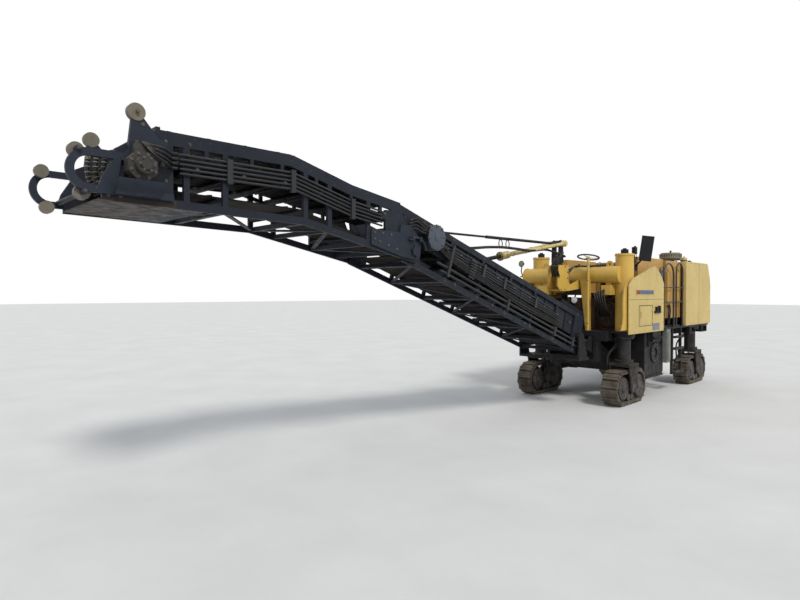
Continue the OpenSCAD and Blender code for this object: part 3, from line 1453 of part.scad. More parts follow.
module stay_tube() {
    color(col_black) placed() difference() {
        union() {
            y_rod(boom_pin[0], 0, boom_pin[1], 2 * stay_ring_half, boom_pin_r + 25);
            rod(stay_from, stay_from + stay_dir * stay_tube_end, stay_r);
            // loops that the hoses hang in
            for (s = hanger_s) let (p = stay_from + stay_dir * s)
                translate([p[0], p[1], p[2] - hanger_r - stay_r + 4]) rotate([90, 0, 10])
                    rotate_extrude($fn = round_fn) translate([hanger_r, 0]) circle(r = 8, $fn = 16);
        }
        y_rod(boom_pin[0], 0, boom_pin[1], 2 * stay_ring_half + 2, boom_pin_r + run_fit);
        rod(stay_from + stay_dir * (stay_rod_start - 500), stay_from + stay_dir * (stay_tube_end + 20),
            stay_rod_r + run_fit);
    }
}

module stay_rod() {
    color(col_black) placed() {
        rod(stay_from + stay_dir * stay_rod_start, stay_to - stay_dir * 20, stay_rod_r);
        y_rod(stay_to[0], stay_to[1], stay_to[2], 2 * stay_eye_half, stay_eye_r);
    }
}

main_frame();
cutter_housing();
front_portal();
body_panels();
hood();
engine_block();
cooling_fan();
operator_deck();
operator_station();
access_door();
handrails();
side_ladder();
mirror_arm();  // mirror
air_precleaner();
fittings();
moldboard();
cutter_drum();
gathering_conveyor();
gathering_belt();
slew_bracket();
lower_frame();
lower_belt();
lower_lines();
fold_hinge();
upper_frame();
upper_belt();
head_drive();
head_guards();
upper_lines();
lift_boom();
lift_rod();
stay_tube();
stay_rod();
leg(0, leg_y, front_leg_top);  // leg_fl
leg(0, -leg_y, front_leg_top);  // leg_fr
leg(rear_x, leg_y, rear_leg_top);  // leg_rl
leg(rear_x, -leg_y, rear_leg_top);  // leg_rr
track_frame(0, leg_y);  // track_frame_fl
track_frame(0, -leg_y);  // track_frame_fr
track_frame(rear_x, leg_y);  // track_frame_rl
track_frame(rear_x, -leg_y);  // track_frame_rr
track_loop(0, leg_y);  // track_loop_fl
track_loop(0, -leg_y);  // track_loop_fr
track_loop(rear_x, leg_y);  // track_loop_rl
track_loop(rear_x, -leg_y);  // track_loop_rr
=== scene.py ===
import bpy
import math
from mathutils import Matrix, Vector


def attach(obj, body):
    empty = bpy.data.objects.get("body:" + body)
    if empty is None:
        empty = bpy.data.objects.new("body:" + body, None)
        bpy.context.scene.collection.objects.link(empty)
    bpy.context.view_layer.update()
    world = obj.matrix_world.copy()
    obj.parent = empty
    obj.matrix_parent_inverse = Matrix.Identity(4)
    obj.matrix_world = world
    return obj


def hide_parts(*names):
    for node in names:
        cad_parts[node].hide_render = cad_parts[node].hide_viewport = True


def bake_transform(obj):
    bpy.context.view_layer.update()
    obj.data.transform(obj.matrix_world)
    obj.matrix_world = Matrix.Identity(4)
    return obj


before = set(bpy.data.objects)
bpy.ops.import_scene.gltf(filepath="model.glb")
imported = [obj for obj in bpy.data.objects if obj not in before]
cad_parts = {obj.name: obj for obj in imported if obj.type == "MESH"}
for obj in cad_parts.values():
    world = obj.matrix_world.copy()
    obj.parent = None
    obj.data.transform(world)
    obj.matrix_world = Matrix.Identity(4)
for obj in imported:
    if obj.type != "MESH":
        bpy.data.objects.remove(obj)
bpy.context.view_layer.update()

# distance from the front leg axes to the row frame's origin, in metres
MID = 2.6

# camera of the photograph: place, heading, pitch and roll in degrees, focal length and width in pixels
CAM_AT = (11.413 - MID, 5.861, 2.29)
CAM_YAW = 225.19
CAM_PITCH = -0.76
CAM_ROLL = 0.08
CAM_F = 555.0
PHOTO_WIDTH = 800.0
SENSOR = 36.0

# directions, and the left and right side
X, Y, Z = Vector((1, 0, 0)), Vector((0, 1, 0)), Vector((0, 0, 1))
SIDES = (1, -1)

# legs and columns: axes as ahead of the front ones and to the left
COLUMN_Y = 0.975
LEGS = {"fl": (0, COLUMN_Y), "fr": (0, -COLUMN_Y), "rl": (-3.98, COLUMN_Y), "rr": (-3.98, -COLUMN_Y)}

# a track: height of its wheels' axes, radius, wheelbase, shoes and half a shoe's width
TRACK_Z = 0.36
TRACK_R = 0.305
TRACK_RUN = 0.74
SHOES = 22
SHOE_HALF = 0.17

# lower conveyor section: tail, slope, length, height and its taper, half width, bend box's middle
TAIL_X, TAIL_Z = 1.16, 1.038
SLOPE = math.radians(18.7)
LOWER_LONG, LOWER_HIGH, LOWER_TAPER = 5.53, 0.8, 0.1
LOWER_Y = 0.58
BEND_U, BEND_W = 4.815, 0.505

# upper section: belt lines and cover's edge as ahead and up, half width, head drum, hook and horn rollers
CARRY = [(6.08, 3.29), (7.7, 3.545), (9.45, 3.526)]
RETURN = [(6.08, 2.86), (7.7, 3.255), (9.45, 3.284)]
COVER = [(6.215, 3.48), (7.05, 3.605), (7.91, 3.82), (9.91, 3.789)]
UPPER_Y = 0.626
HEAD_X, HEAD_Z, HEAD_R = 9.56, 3.405, 0.1303
HOOKS = ((10.045, 3.495), (10.0, 3.14))
HOOK_R = 0.067
HORN = (9.576, 3.903)
HORN_R = 0.081

# mast's axis, and height of its upper pin, where boom and stay meet it
MAST_X = 1.0
PIN_Z = 3.3

# outer faces of side panels, housing and rear wall; cutter drum, fan, lamp, air cleaner, filter, pole
PANEL_Y = 1.2
HOUSING_Y = 1.12
REAR_X = -4.9
CUTTER_X, CUTTER_Z, CUTTER_BOLTS = -1.3, 0.96, 0.185
FAN_Y, FAN_Z, FAN_R = 0.58, 1.83, 0.27
LAMP_Y, LAMP_Z = 0.062, 2.137
CLEANER_X, CLEANER_Y = -3.15, 0.78
FILTER_X, FILTER_Y = -3.6, 0.95
POLE_X, POLE_Y = 0.385, 0.37

# half the step of eight bolts round a centre
HALF_STEP = math.radians(22.5)


def P(x, y, z):
    """a point of the layout, measured ahead of the front leg axes, in the row frame"""
    return Vector((x - MID, y, z))


def turned(a, plane):
    """unit vector at an angle in the plane of two directions"""
    return plane[0] * math.cos(a) + plane[1] * math.sin(a)


def make_camera():
    data = bpy.data.cameras.new("photo_camera")
    data.sensor_fit = "HORIZONTAL"
    data.sensor_width = SENSOR
    data.lens = CAM_F / PHOTO_WIDTH * SENSOR
    data.clip_end = 500.0
    cam = bpy.data.objects.new("photo_camera", data)
    bpy.context.scene.collection.objects.link(cam)
    yaw, pitch, roll = map(math.radians, (CAM_YAW, CAM_PITCH, CAM_ROLL))
    look = Vector((math.cos(yaw) * math.cos(pitch), math.sin(yaw) * math.cos(pitch), math.sin(pitch)))
    right = look.cross(Z).normalized()
    up = right.cross(look)
    r, u = turned(roll, (right, up)), turned(roll, (up, -right))
    m = Matrix((r, u, -look)).transposed().to_4x4()
    m.translation = Vector(CAM_AT)
    cam.matrix_world = m
    bpy.context.scene.camera = cam


make_camera()


# materials
class Nodes:
    """short hand for one material's node tree"""

    def __init__(self, name):
        self.mat = bpy.data.materials.new(name)
        self.mat.use_nodes = True
        self.tree = self.mat.node_tree
        self.tree.nodes.clear()
        self.out = self.add("ShaderNodeOutputMaterial")
        self.shader = self.add("ShaderNodeBsdfPrincipled")
        self.link(self.shader.outputs[0], self.out.inputs[0])
        self.coord = self.add("ShaderNodeTexCoord").outputs["Object"]
        self.normal = self.add("ShaderNodeNewGeometry").outputs["Normal"]

    def add(self, kind, **props):
        n = self.tree.nodes.new(kind)
        for k, v in props.items():
            setattr(n, k, v)
        return n

    def link(self, a, b):
        self.tree.links.new(a, b)

    def noise(self, scale, detail=4.0, rough=0.6, stretch=(1, 1, 1)):
        m = self.add("ShaderNodeMapping")
        m.inputs["Scale"].default_value = stretch
        self.link(self.coord, m.inputs["Vector"])
        n = self.add("ShaderNodeTexNoise")
        n.inputs["Scale"].default_value = scale
        n.inputs["Detail"].default_value = detail
        n.inputs["Roughness"].default_value = rough
        self.link(m.outputs[0], n.inputs["Vector"])
        return n.outputs["Fac"]

    def ramp(self, fac, low, high, v0=0.0, v1=1.0):
        """v0 where fac is low, v1 where it is high, straight between"""
        r = self.add("ShaderNodeMapRange")
        r.inputs["From Min"].default_value = low
        r.inputs["From Max"].default_value = high
        r.inputs["To Min"].default_value = v0
        r.inputs["To Max"].default_value = v1
        self.link(fac, r.inputs["Value"])
        return r.outputs["Result"]

    def math(self, op, a, b):
        n = self.add("ShaderNodeMath", operation=op)
        for i, v in enumerate((a, b)):
            if isinstance(v, (int, float)):
                n.inputs[i].default_value = v
            else:
                self.link(v, n.inputs[i])
        return n.outputs[0]

    def mix(self, fac, a, b):
        n = self.add("ShaderNodeMix", data_type="RGBA")
        for key, v in ((0, fac), (6, a), (7, b)):
            if isinstance(v, tuple):
                n.inputs[key].default_value = (*v, 1.0)
            else:
                self.link(v, n.inputs[key])
        return n.outputs[2]

    def part_of(self, vector, axis):
        s = self.add("ShaderNodeSeparateXYZ")
        self.link(vector, s.inputs[0])
        return s.outputs[axis]

    def vector_math(self, op, a, b=(0, 0, 0)):
        n = self.add("ShaderNodeVectorMath", operation=op)
        self.link(a, n.inputs[0])
        n.inputs[1].default_value = b
        return n.outputs[0]

    def inside(self, low, high):
        """1 in the box between two points of the layout, else 0"""
        low, high = P(*low), P(*high)
        v = self.vector_math("SUBTRACT", self.coord, tuple((low + high) / 2))
        v = self.vector_math("SUBTRACT", self.vector_math("ABSOLUTE", v), tuple((high - low) / 2))
        most = self.math("MAXIMUM", self.part_of(v, "Y"), self.part_of(v, "Z"))
        most = self.math("MAXIMUM", self.part_of(v, "X"), most)
        return self.math("LESS_THAN", most, 0.0)

    def in_roller(self, x, z, r, near_y, far_y):
        """1 within r of the line across at x, z, between two distances from the middle, else 0"""
        v = self.vector_math("SUBTRACT", self.coord, (x - MID, 0, z))
        flat = self.vector_math("MULTIPLY", v, (1, 0, 1))
        n = self.add("ShaderNodeVectorMath", operation="LENGTH")
        self.link(flat, n.inputs[0])
        near = self.math("LESS_THAN", n.outputs["Value"], r)
        side = self.math("ABSOLUTE", self.part_of(v, "Y"), 0.0)
        far = self.math("LESS_THAN", side, far_y)
        band = self.math("MULTIPLY", self.math("GREATER_THAN", side, near_y), far)
        return self.math("MULTIPLY", near, band)

    def bump(self, height, strength, distance):
        b = self.add("ShaderNodeBump")
        b.inputs["Strength"].default_value = strength
        b.inputs["Distance"].default_value = distance
        self.link(height, b.inputs["Height"])
        self.link(b.outputs[0], self.shader.inputs["Normal"])


DUST = (0.34, 0.29, 0.22)
RUST = (0.2, 0.085, 0.035)


def shaded(colour, share):
    return tuple(c * share for c in colour)


def paint(name, base, shade, wear, chip=0.12, dusty=0.35, rough=0.5, metal=0.0, grain=55.0,
          streaks=0.55, relief=0.25, zones=(), shine=0.5):
    """a surface with its wear. zones are places with a colour of their own, or with painted shade: (kind,
    measures, colour)
    """
    n = Nodes(name)
    # broad fading, then the zones
    colour = n.mix(n.ramp(n.noise(0.9, 5.0), 0.35, 0.7), base, shade)
    for kind, measures, tone in zones:
        fac = n.inside(*measures) if kind == "box" else n.in_roller(*measures)
        patchy = n.mix(n.ramp(n.noise(7.0, 5.0), 0.35, 0.7), tone, shaded(tone, 0.7))
        colour = n.mix(fac, colour, patchy)
    # streaks that run down
    streak = n.noise(5.0, 6.0, 0.7, (1.6, 1.6, 0.25))
    colour = n.mix(n.ramp(streak, 0.56, 0.78, 0.0, streaks), colour, shaded(base, 0.5))
    # chips down to what is below
    chips = n.noise(23.0, 8.0, 0.75)
    cut = 0.72 - chip * 0.5
    colour = n.mix(n.ramp(chips, cut, cut + 0.05, 0.0, 0.9), colour, wear)
    # dust that settles on top, and more of it towards the ground
    settle = n.ramp(n.part_of(n.normal, "Z"), 0.1, 0.9)
    settle = n.math("MULTIPLY", settle, n.ramp(n.noise(3.0, 5.0), 0.3, 0.65))
    low = n.ramp(n.part_of(n.coord, "Z"), 1.6, 0.1)
    low = n.math("MULTIPLY", low, n.ramp(n.noise(6.0, 6.0), 0.35, 0.7))
    cover = n.math("MULTIPLY", n.math("MAXIMUM", settle, low), dusty)
    n.link(n.mix(cover, colour, DUST), n.shader.inputs["Base Color"])
    n.shader.inputs["Metallic"].default_value = metal
    n.shader.inputs["Specular IOR Level"].default_value = shine
    gloss = n.ramp(n.noise(9.0, 5.0), 0.3, 0.7, rough - 0.12, min(1.0, rough + 0.22))
    n.link(gloss, n.shader.inputs["Roughness"])
    sunk = n.math("MULTIPLY", chips, -0.4)
    n.bump(n.math("ADD", sunk, n.noise(grain, 6.0, 0.7)), relief, 0.004)
    return n.mat


# rollers, the side pillar, the pan below the head, and painted shade: the columns' yellow base under the
# panels made near black
ROLLER_TONE = (0.17, 0.15, 0.115)
ROLLERS = [("roller", (*at, HOOK_R, 0.54, 0.6175), ROLLER_TONE) for at in HOOKS]
ROLLERS.append(("roller", (*HORN, HORN_R, 0.6, 0.7), ROLLER_TONE))
PILLAR = ("box", ((-2.015, 1.09, 0.69), (-1.785, 1.22, 1.5)), (0.2, 0.2, 0.185))
PAN = ("box", ((9.2, -0.66, 3.04), (10.0, 0.66, 3.125)), (0.035, 0.024, 0.019))
PAINTED_SHADE_UNDER_PANELS = ("box", ((-0.3, -1.3, 1.3), (0.3, 1.3, 1.452)), (0.02, 0.02, 0.022))

# name, base, shade, wear; then chips, dust and roughness
MAT = {
    # the yellow paint carries painted shade on the columns' base, where they stand under the panels
    "yellow": paint("yellow_paint", (0.62, 0.395, 0.07), (0.5, 0.315, 0.06), RUST,
        0.1, 0.25, 0.42, zones=[PAINTED_SHADE_UNDER_PANELS]),
    "cream": paint("cream_paint", (0.56, 0.43, 0.155), (0.47, 0.35, 0.115), RUST,
        0.07, 0.25, 0.55, streaks=0.45),
    "orange": paint("orange_paint", (0.5, 0.3, 0.075), (0.38, 0.21, 0.045), RUST, 0.12, 0.35, 0.5),
    "pale": paint("pale_yellow_paint", (0.56, 0.44, 0.17), (0.47, 0.35, 0.11), RUST, 0.1, 0.25, 0.5),
    "khaki": paint("khaki_paint", (0.25, 0.225, 0.15), (0.18, 0.16, 0.11), RUST, 0.1, 0.25, 0.55),
    "black": paint("black_paint", (0.008, 0.009, 0.011), (0.015, 0.015, 0.018), (0.05, 0.04, 0.032),
        0.13, 0.09, 0.55, shine=0.2),
    "conveyor": paint("conveyor_paint", (0.009, 0.012, 0.019), (0.016, 0.019, 0.027), (0.11, 0.09, 0.07),
        0.19, 0.08, 0.5, shine=0.2, zones=[PAN]),
    "legs": paint("leg_paint", (0.014, 0.014, 0.015), (0.024, 0.022, 0.02), (0.07, 0.055, 0.04),
        0.16, 0.2, 0.6, shine=0.2, zones=[PILLAR]),
    "grey": paint("grey_paint", (0.3, 0.3, 0.28), (0.22, 0.22, 0.21), RUST, 0.14, 0.35, 0.5),
    "rail": paint("rail_paint", (0.022, 0.018, 0.016), (0.035, 0.028, 0.023), (0.1, 0.06, 0.04),
        0.14, 0.18, 0.45),
    "steel": paint("worn_steel", (0.04, 0.042, 0.046), (0.028, 0.028, 0.028), (0.1, 0.08, 0.065),
        0.22, 0.3, 0.55, metal=0.2, shine=0.3),
    "worn": paint("bolt_steel", (0.1, 0.097, 0.09), (0.06, 0.057, 0.05), RUST, 0.16, 0.3, 0.5, metal=0.4),
    "rubber": paint("belt_rubber", (0.014, 0.012, 0.011), (0.028, 0.021, 0.016), (0.05, 0.035, 0.025),
        0.15, 0.22, 0.85, relief=0.12, shine=0.2),
    "track": paint("track_pad", (0.048, 0.04, 0.032), (0.075, 0.061, 0.047), (0.12, 0.095, 0.072),
        0.22, 0.45, 0.8, metal=0.1, grain=32.0, relief=0.4, shine=0.25),
    "bluegrey": paint("hinge_plate", (0.05, 0.068, 0.095), (0.036, 0.047, 0.062), (0.11, 0.095, 0.075),
        0.12, 0.2, 0.5),
    "guards": paint("guard_paint", (0.011, 0.015, 0.026), (0.018, 0.023, 0.035), (0.1, 0.08, 0.065),
        0.17, 0.1, 0.5, zones=ROLLERS, shine=0.24),
    "gearbox": paint("gearbox_paint", (0.045, 0.042, 0.037), (0.032, 0.03, 0.027), (0.13, 0.11, 0.09),
        0.2, 0.25, 0.6, shine=0.3),
    "lines": paint("line_paint", (0.018, 0.02, 0.024), (0.012, 0.013, 0.016), (0.12, 0.11, 0.1),
        0.16, 0.2, 0.4, metal=0.2),
    "hose": paint("hose_rubber", (0.008, 0.008, 0.009), (0.014, 0.013, 0.013), (0.035, 0.03, 0.027),
        0.1, 0.15, 0.5, grain=120.0, relief=0.12, shine=0.3),
    "sleeve": paint("hose_sleeve", (0.24, 0.23, 0.2), (0.15, 0.14, 0.12), (0.33, 0.31, 0.27),
        0.14, 0.25, 0.5),
    "rusty": paint("rusted_steel", (0.085, 0.042, 0.022), (0.05, 0.028, 0.017), (0.15, 0.085, 0.045),
        0.2, 0.3, 0.85, metal=0.1),
    "dull_red": paint("dull_red_paint", (0.26, 0.045, 0.03), (0.18, 0.035, 0.025), RUST, 0.12, 0.3, 0.6),
    "strip": paint("strip_paint", (0.085, 0.11, 0.19), (0.065, 0.085, 0.14), (0.2, 0.2, 0.2), 0.08, 0.2, 0.5),
    "plate": paint("plate_paint", (0.19, 0.205, 0.26), (0.14, 0.15, 0.19), RUST, 0.12, 0.25, 0.5),
    "vinyl": paint("black_vinyl", (0.014, 0.014, 0.015), (0.022, 0.021, 0.021), (0.05, 0.045, 0.04),
        0.04, 0.14, 0.42, grain=160.0, streaks=0.2, relief=0.35),
    "mirror": paint("mirror_face", (0.42, 0.45, 0.47), (0.36, 0.39, 0.41), (0.22, 0.2, 0.18),
        0.02, 0.15, 0.2, metal=0.8, relief=0.02),
    "lens": paint("lamp_glass", (0.7, 0.72, 0.72), (0.6, 0.62, 0.62), (0.35, 0.32, 0.28),
        0.02, 0.15, 0.22, relief=0.1),
}

NODES_IN = {
    "black": "main_frame cutter_housing operator_deck operator_station mirror fittings gathering_conveyor "
             "slew_bracket lift_rod stay_tube stay_rod",
    "yellow": "front_portal", "cream": "body_panels access_door", "orange": "hood", "pale": "lift_boom",
    "khaki": "air_precleaner", "rusty": "engine_block cooling_fan", "rail": "handrails",
    "conveyor": "lower_frame upper_frame", "rubber": "gathering_belt lower_belt upper_belt",
    "lines": "lower_lines upper_lines", "guards": "fold_hinge head_guards", "gearbox": "head_drive",
    "legs": "side_ladder" + "".join(" leg_" + leg for leg in LEGS),
    "steel": "moldboard cutter_drum" + "".join(" track_frame_" + leg for leg in LEGS),
    "track": " ".join("track_loop_" + leg for leg in LEGS),
}
for mat, nodes in NODES_IN.items():
    for node in nodes.split():
        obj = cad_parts[node]
        if not obj.material_slots:
            obj.data.materials.append(MAT[mat])
        for s in obj.material_slots:
            s.material = MAT[mat]


# shapes
def angles(n, start=0.0):
    return [start + 2 * math.pi * i / n for i in range(n)]


def axes(direction):
    """a direction and two unit vectors square to it, in right-handed order"""
    d = Vector(direction).normalized()
    side = Z if abs(d.z) < 0.9 else X
    e1 = side.cross(d).normalized()
    return d, e1, d.cross(e1)


def smooth(points, per=6):
    """points on a smooth curve through the given ones"""
    pts = [Vector(p) for p in points]
    ext = [2 * pts[0] - pts[1]] + pts + [2 * pts[-1] - pts[-2]]
    out = []
    for i in range(1, len(ext) - 2):
        p0, p1, p2, p3 = ext[i - 1:i + 3]
        for k in range(per):
            t = k / per
            out.append(0.5 * ((2 * p1) + (p2 - p0) * t + (2 * p0 - 5 * p1 + 4 * p2 - p3) * t * t
                              + (3 * p1 - p0 - 3 * p2 + p3) * t ** 3))
    out.append(pts[-1])
    return out


class Shape:
    """one mesh built up from closed forms"""

    def __init__(self):
        self.verts = []
        self.faces = []

    def add(self, verts, faces):
        n = len(self.verts)
        self.verts.extend(Vector(v) for v in verts)
        self.faces.extend(tuple(n + i for i in f) for f in faces)

    def rings(self, rows):
        """skin through rows of as many points each, closed round each row and capped"""
        n = len(rows[0])
        faces = [(i * n + j, i * n + (j + 1) % n, (i + 1) * n + (j + 1) % n, (i + 1) * n + j)
                 for i in range(len(rows) - 1) for j in range(n)]
        faces.append(tuple(reversed(range(n))))
        faces.append(tuple((len(rows) - 1) * n + j for j in range(n)))
        self.add([p for row in rows for p in row], faces)

    def lathe(self, at, axis, profile, n=16):
        """turned form: profile as [along the axis, radius]"""
        d, e1, e2 = axes(axis)
        self.rings([[at + d * h + turned(a, (e1, e2)) * max(r, 0.0002) for a in angles(n)]
                    for h, r in profile])

    def rod(self, p, q, r, n=10):
        self.lathe(p, q - p, [(0, r), ((q - p).length, r)], n)

    def tube(self, points, r, n=8, per=6):
        """round bar or hose along a smooth curve"""
        line = smooth(points, per)
        rows = []
        e1 = axes(line[1] - line[0])[1]
        for i, p in enumerate(line):
            d = (line[min(i + 1, len(line) - 1)] - line[max(i - 1, 0)]).normalized()
            e1 = (e1 - d * e1.dot(d)).normalized()
            rows.append([p + turned(a, (e1, d.cross(e1))) * r for a in angles(n)])
        self.rings(rows)

    def hose(self, points, r, n=8):
        """hose with a crimped steel sleeve at each end"""
        self.tube(points, r, n)
        line = smooth(points)
        for p, q in ((line[0], line[1]), (line[-1], line[-2])):
            sleeve = [(0, r * 0.9), (0, r * 1.35), (r * 4, r * 1.35), (r * 4.5, r * 1.02)]
            self.lathe(p, q - p, sleeve, n)

    def ring(self, centre, axis, radius, wire, n=32, m=6):
        """round bar bent to a full circle"""
        d, e1, e2 = axes(axis)
        pts = []
        for a in angles(n):
            out = turned(a, (e1, e2))
            pts += [centre + out * (radius + wire * math.cos(b)) + d * wire * math.sin(b) for b in angles(m)]
        faces = [(i * m + j, ((i + 1) % n) * m + j, ((i + 1) % n) * m + (j + 1) % m, i * m + (j + 1) % m)
                 for i in range(n) for j in range(m)]
        self.add(pts, faces)

    def bolt(self, at, axis, r=0.014, h=0.012):
        """six-sided head on its washer"""
        self.lathe(at, axis, [(-0.003, r * 1.35), (h * 0.22, r * 1.35)], 12)
        self.lathe(at, axis, [(h * 0.2, r), (h * 0.85, r), (h, r * 0.82)], 6)

    def bolt_circle(self, centre, plane, radius, n, axis, r, h, start=0.0):
        """bolts spread evenly round a centre, in the plane of two directions"""
        for a in angles(n, start):
            self.bolt(centre + turned(a, plane) * radius, axis, r, h)

    def side_bolts(self, places, y, r, h):
        """bolts on both sides at places given as ahead and up"""
        for x, z in places:
            for side in SIDES:
                self.bolt(P(x, side * y, z), Y * side, r, h)

    def screw(self, at, axis, r=0.01):
        """low domed head"""
        self.lathe(at, axis, [(-0.002, r), (0.001, r), (0.0035, r * 0.7), (0.0045, r * 0.25)], 8)

    def block(self, c, a, b, d):
        """box about c with half edges a, b, d"""
        corners = [c + a * i + b * j + d * k for i in (-1, 1) for j in (-1, 1) for k in (-1, 1)]
        sides = [(0, 1, 3, 2), (4, 6, 7, 5), (0, 4, 5, 1), (2, 3, 7, 6), (0, 2, 6, 4), (1, 5, 7, 3)]
        self.add(corners, sides)

    def box(self, low, high):
        h = (high - low) / 2
        self.block((low + high) / 2, X * h.x, Y * h.y, Z * h.z)


def piece(name, shape, mat, slot, body="chassis", bevel=0.0, angle=35.0):
    mesh = bpy.data.meshes.new(name)
    mesh.from_pydata([tuple(v) for v in shape.verts], [], shape.faces)
    mesh.materials.append(MAT[mat])
    mesh.polygons.foreach_set("use_smooth", [True] * len(mesh.polygons))
    mesh.set_sharp_from_angle(angle=math.radians(angle))
    obj = bpy.data.objects.new(name, mesh)
    bpy.context.scene.collection.objects.link(obj)
    if bevel:
        m = obj.modifiers.new("edge", "BEVEL")
        m.width = bevel
        m.segments = 2
        m.limit_method = "ANGLE"
    if body:
        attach(obj, body)
    return obj


def part(*look, **more):
    """the function below fills a shape, which becomes the piece of the same name"""
    def build(fill):
        s = Shape()
        fill(s)
        return piece(fill.__name__, s, *look, **more)
    return build


# tracks
def track_point(s):
    """place on the track's line and the angle that it faces"""
    arc = math.pi * TRACK_R
    s %= 2 * TRACK_RUN + 2 * arc
    if s < TRACK_RUN:
        return -TRACK_RUN / 2 + s, -TRACK_R, -math.pi / 2
    s -= TRACK_RUN
    if s < arc:
        a = -math.pi / 2 + s / TRACK_R
        return TRACK_RUN / 2 + TRACK_R * math.cos(a), TRACK_R * math.sin(a), a
    s -= arc
    if s < TRACK_RUN:
        return TRACK_RUN / 2 - s, TRACK_R, math.pi / 2
    a = math.pi / 2 + (s - TRACK_RUN) / TRACK_R
    return -TRACK_RUN / 2 + TRACK_R * math.cos(a), TRACK_R * math.sin(a), a


def track_pads(leg, x0, y0):
    """two blocks on each shoe, one on either side of its rib"""
    s = Shape()
    pitch = (2 * TRACK_RUN + 2 * math.pi * TRACK_R) / SHOES
    for i in range(SHOES):
        x, z, a = track_point((i + 0.5) * pitch)
        out, on = turned(a, (X, Z)), turned(a, (Z, -X))
        at = P(x0 + x, y0, TRACK_Z + z)
        for side in SIDES:
            s.block(at + out * 0.034 + on * side * pitch * 0.285, on * pitch * 0.165, Y * (SHOE_HALF - 0.012),
                    out * 0.016)
    piece("track_pads_" + leg, s, "track", "rubber", "track_" + leg, 0.004)


def track_bolts(leg, x0, y0):
    """bolts, rim and hub cap on the wheels' faces, and the leg's flange bolts"""
    s = Shape()
    for end in SIDES:
        for side in SIDES:
            hub = P(x0 + end * TRACK_RUN / 2, y0 + side * 0.158, TRACK_Z)
            s.bolt_circle(hub, (X, Z), 0.15, 10, Y * side, 0.013, 0.011)
            s.ring(hub, Y, 0.205, 0.009, 40)
            cap = [(0, 0.062), (0.006, 0.06), (0.009, 0.045), (0.01, 0.012)]
            s.lathe(hub + Y * side * 0.01, Y * side, cap, 20)
    s.bolt_circle(P(x0, y0, 0.9), (X, Y), 0.157, 12, Z, 0.014, 0.013)
    piece("track_bolts_" + leg, s, "steel", "steel", "track_" + leg)


def track_lines(leg, x0, y0):
    """three motor lines from below the saddle to the track's inner side"""
    s = Shape()
    inner = -1 if y0 > 0 else 1
    for k in range(3):
        step, dx = 0.02 * k, 0.05 + 0.035 * k
        bend = 0.19 + 0.155 * math.cos(math.radians(200 + 16 * k))
        line = [(0.02 + dx * 0.4, 0.15, 1.335), (bend, 0.1 + step, 1.22), (0.2 + step, 0.235, 1.0),
                (0.16 + step, 0.262, 0.72), (dx, 0.262, 0.52), (dx - 0.02, 0.228, 0.42)]
        s.hose([P(x0 + x, y0 + inner * y, z) for x, y, z in line], 0.012)
    piece("track_lines_" + leg, s, "hose", "rubber", "track_" + leg)


for leg in LEGS:
    track_pads(leg, *LEGS[leg])
    track_bolts(leg, *LEGS[leg])
    track_lines(leg, *LEGS[leg])


# belts
ALONG = turned(SLOPE, (X, Z))
OUT = turned(SLOPE, (Z, -X))
CLEAT_HALF = 0.42


def lower(u, y, w):
    """a point of the lower conveyor section: along it, across and square to it"""
    return P(TAIL_X, y, TAIL_Z) + ALONG * u + OUT * w


def height(line, x):
    """height at x of a line through points given as ahead and up"""
    for (x0, z0), (x1, z1) in zip(line, line[1:]):
        if x < x1:
            return z0 + (x - x0) * (z1 - z0) / (x1 - x0)
    return line[-1][1]


def make_cleats(name, rows, body):
    """bent ribs across a belt: rows as place, direction along the belt and outward"""
    rise = 0.016
    s = Shape()
    for at, on, out in rows:
        for side in SIDES:
            tip = at + on * 0.1
            far = at - on * 0.1 + Y * side * CLEAT_HALF
            run = (far - tip) / 2
            across = run.cross(out).normalized() * 0.011
            s.block((tip + far) / 2 + out * rise / 2, run, across, out * rise / 2)
    piece(name, s, "rubber", "rubber", body)


def line_rows(points, step, flip):
    """a belt line's rows of cleats, one a step"""
    rows = []
    for p, q in zip(points, points[1:]):
        a, b = P(p[0], 0, p[1]), P(q[0], 0, q[1])
        on = (b - a).normalized()
        out = on.cross(Y) * flip
        n = int((b - a).length / step)
        rows += [(a + on * (i + 0.5) * step + out * 0.007, on, out) for i in range(n)]
    return rows


carrying = [(lower(0.45 + 0.3 * i, 0, 0.574), ALONG, OUT) for i in range(16)]
returning = [(lower(0.35 + 0.5 * i, 0, 0.11), ALONG, -OUT) for i in range(10)]
make_cleats("lower_cleats", carrying + returning, "lower_section")
make_cleats("upper_cleats", line_rows(CARRY, 0.3, -1) + line_rows(RETURN, 0.46, 1), "upper_section")


@part("rubber", "rubber", "upper_section")
def head_cleats(s):
    for degrees in (-70, -20, 30, 80):
        a = math.radians(degrees)
        out, on = turned(a, (X, Z)), turned(a, (Z, -X))
        s.block(P(HEAD_X, 0, HEAD_Z) + out * (HEAD_R + 0.009), Y * CLEAT_HALF, on * 0.011, out * 0.009)


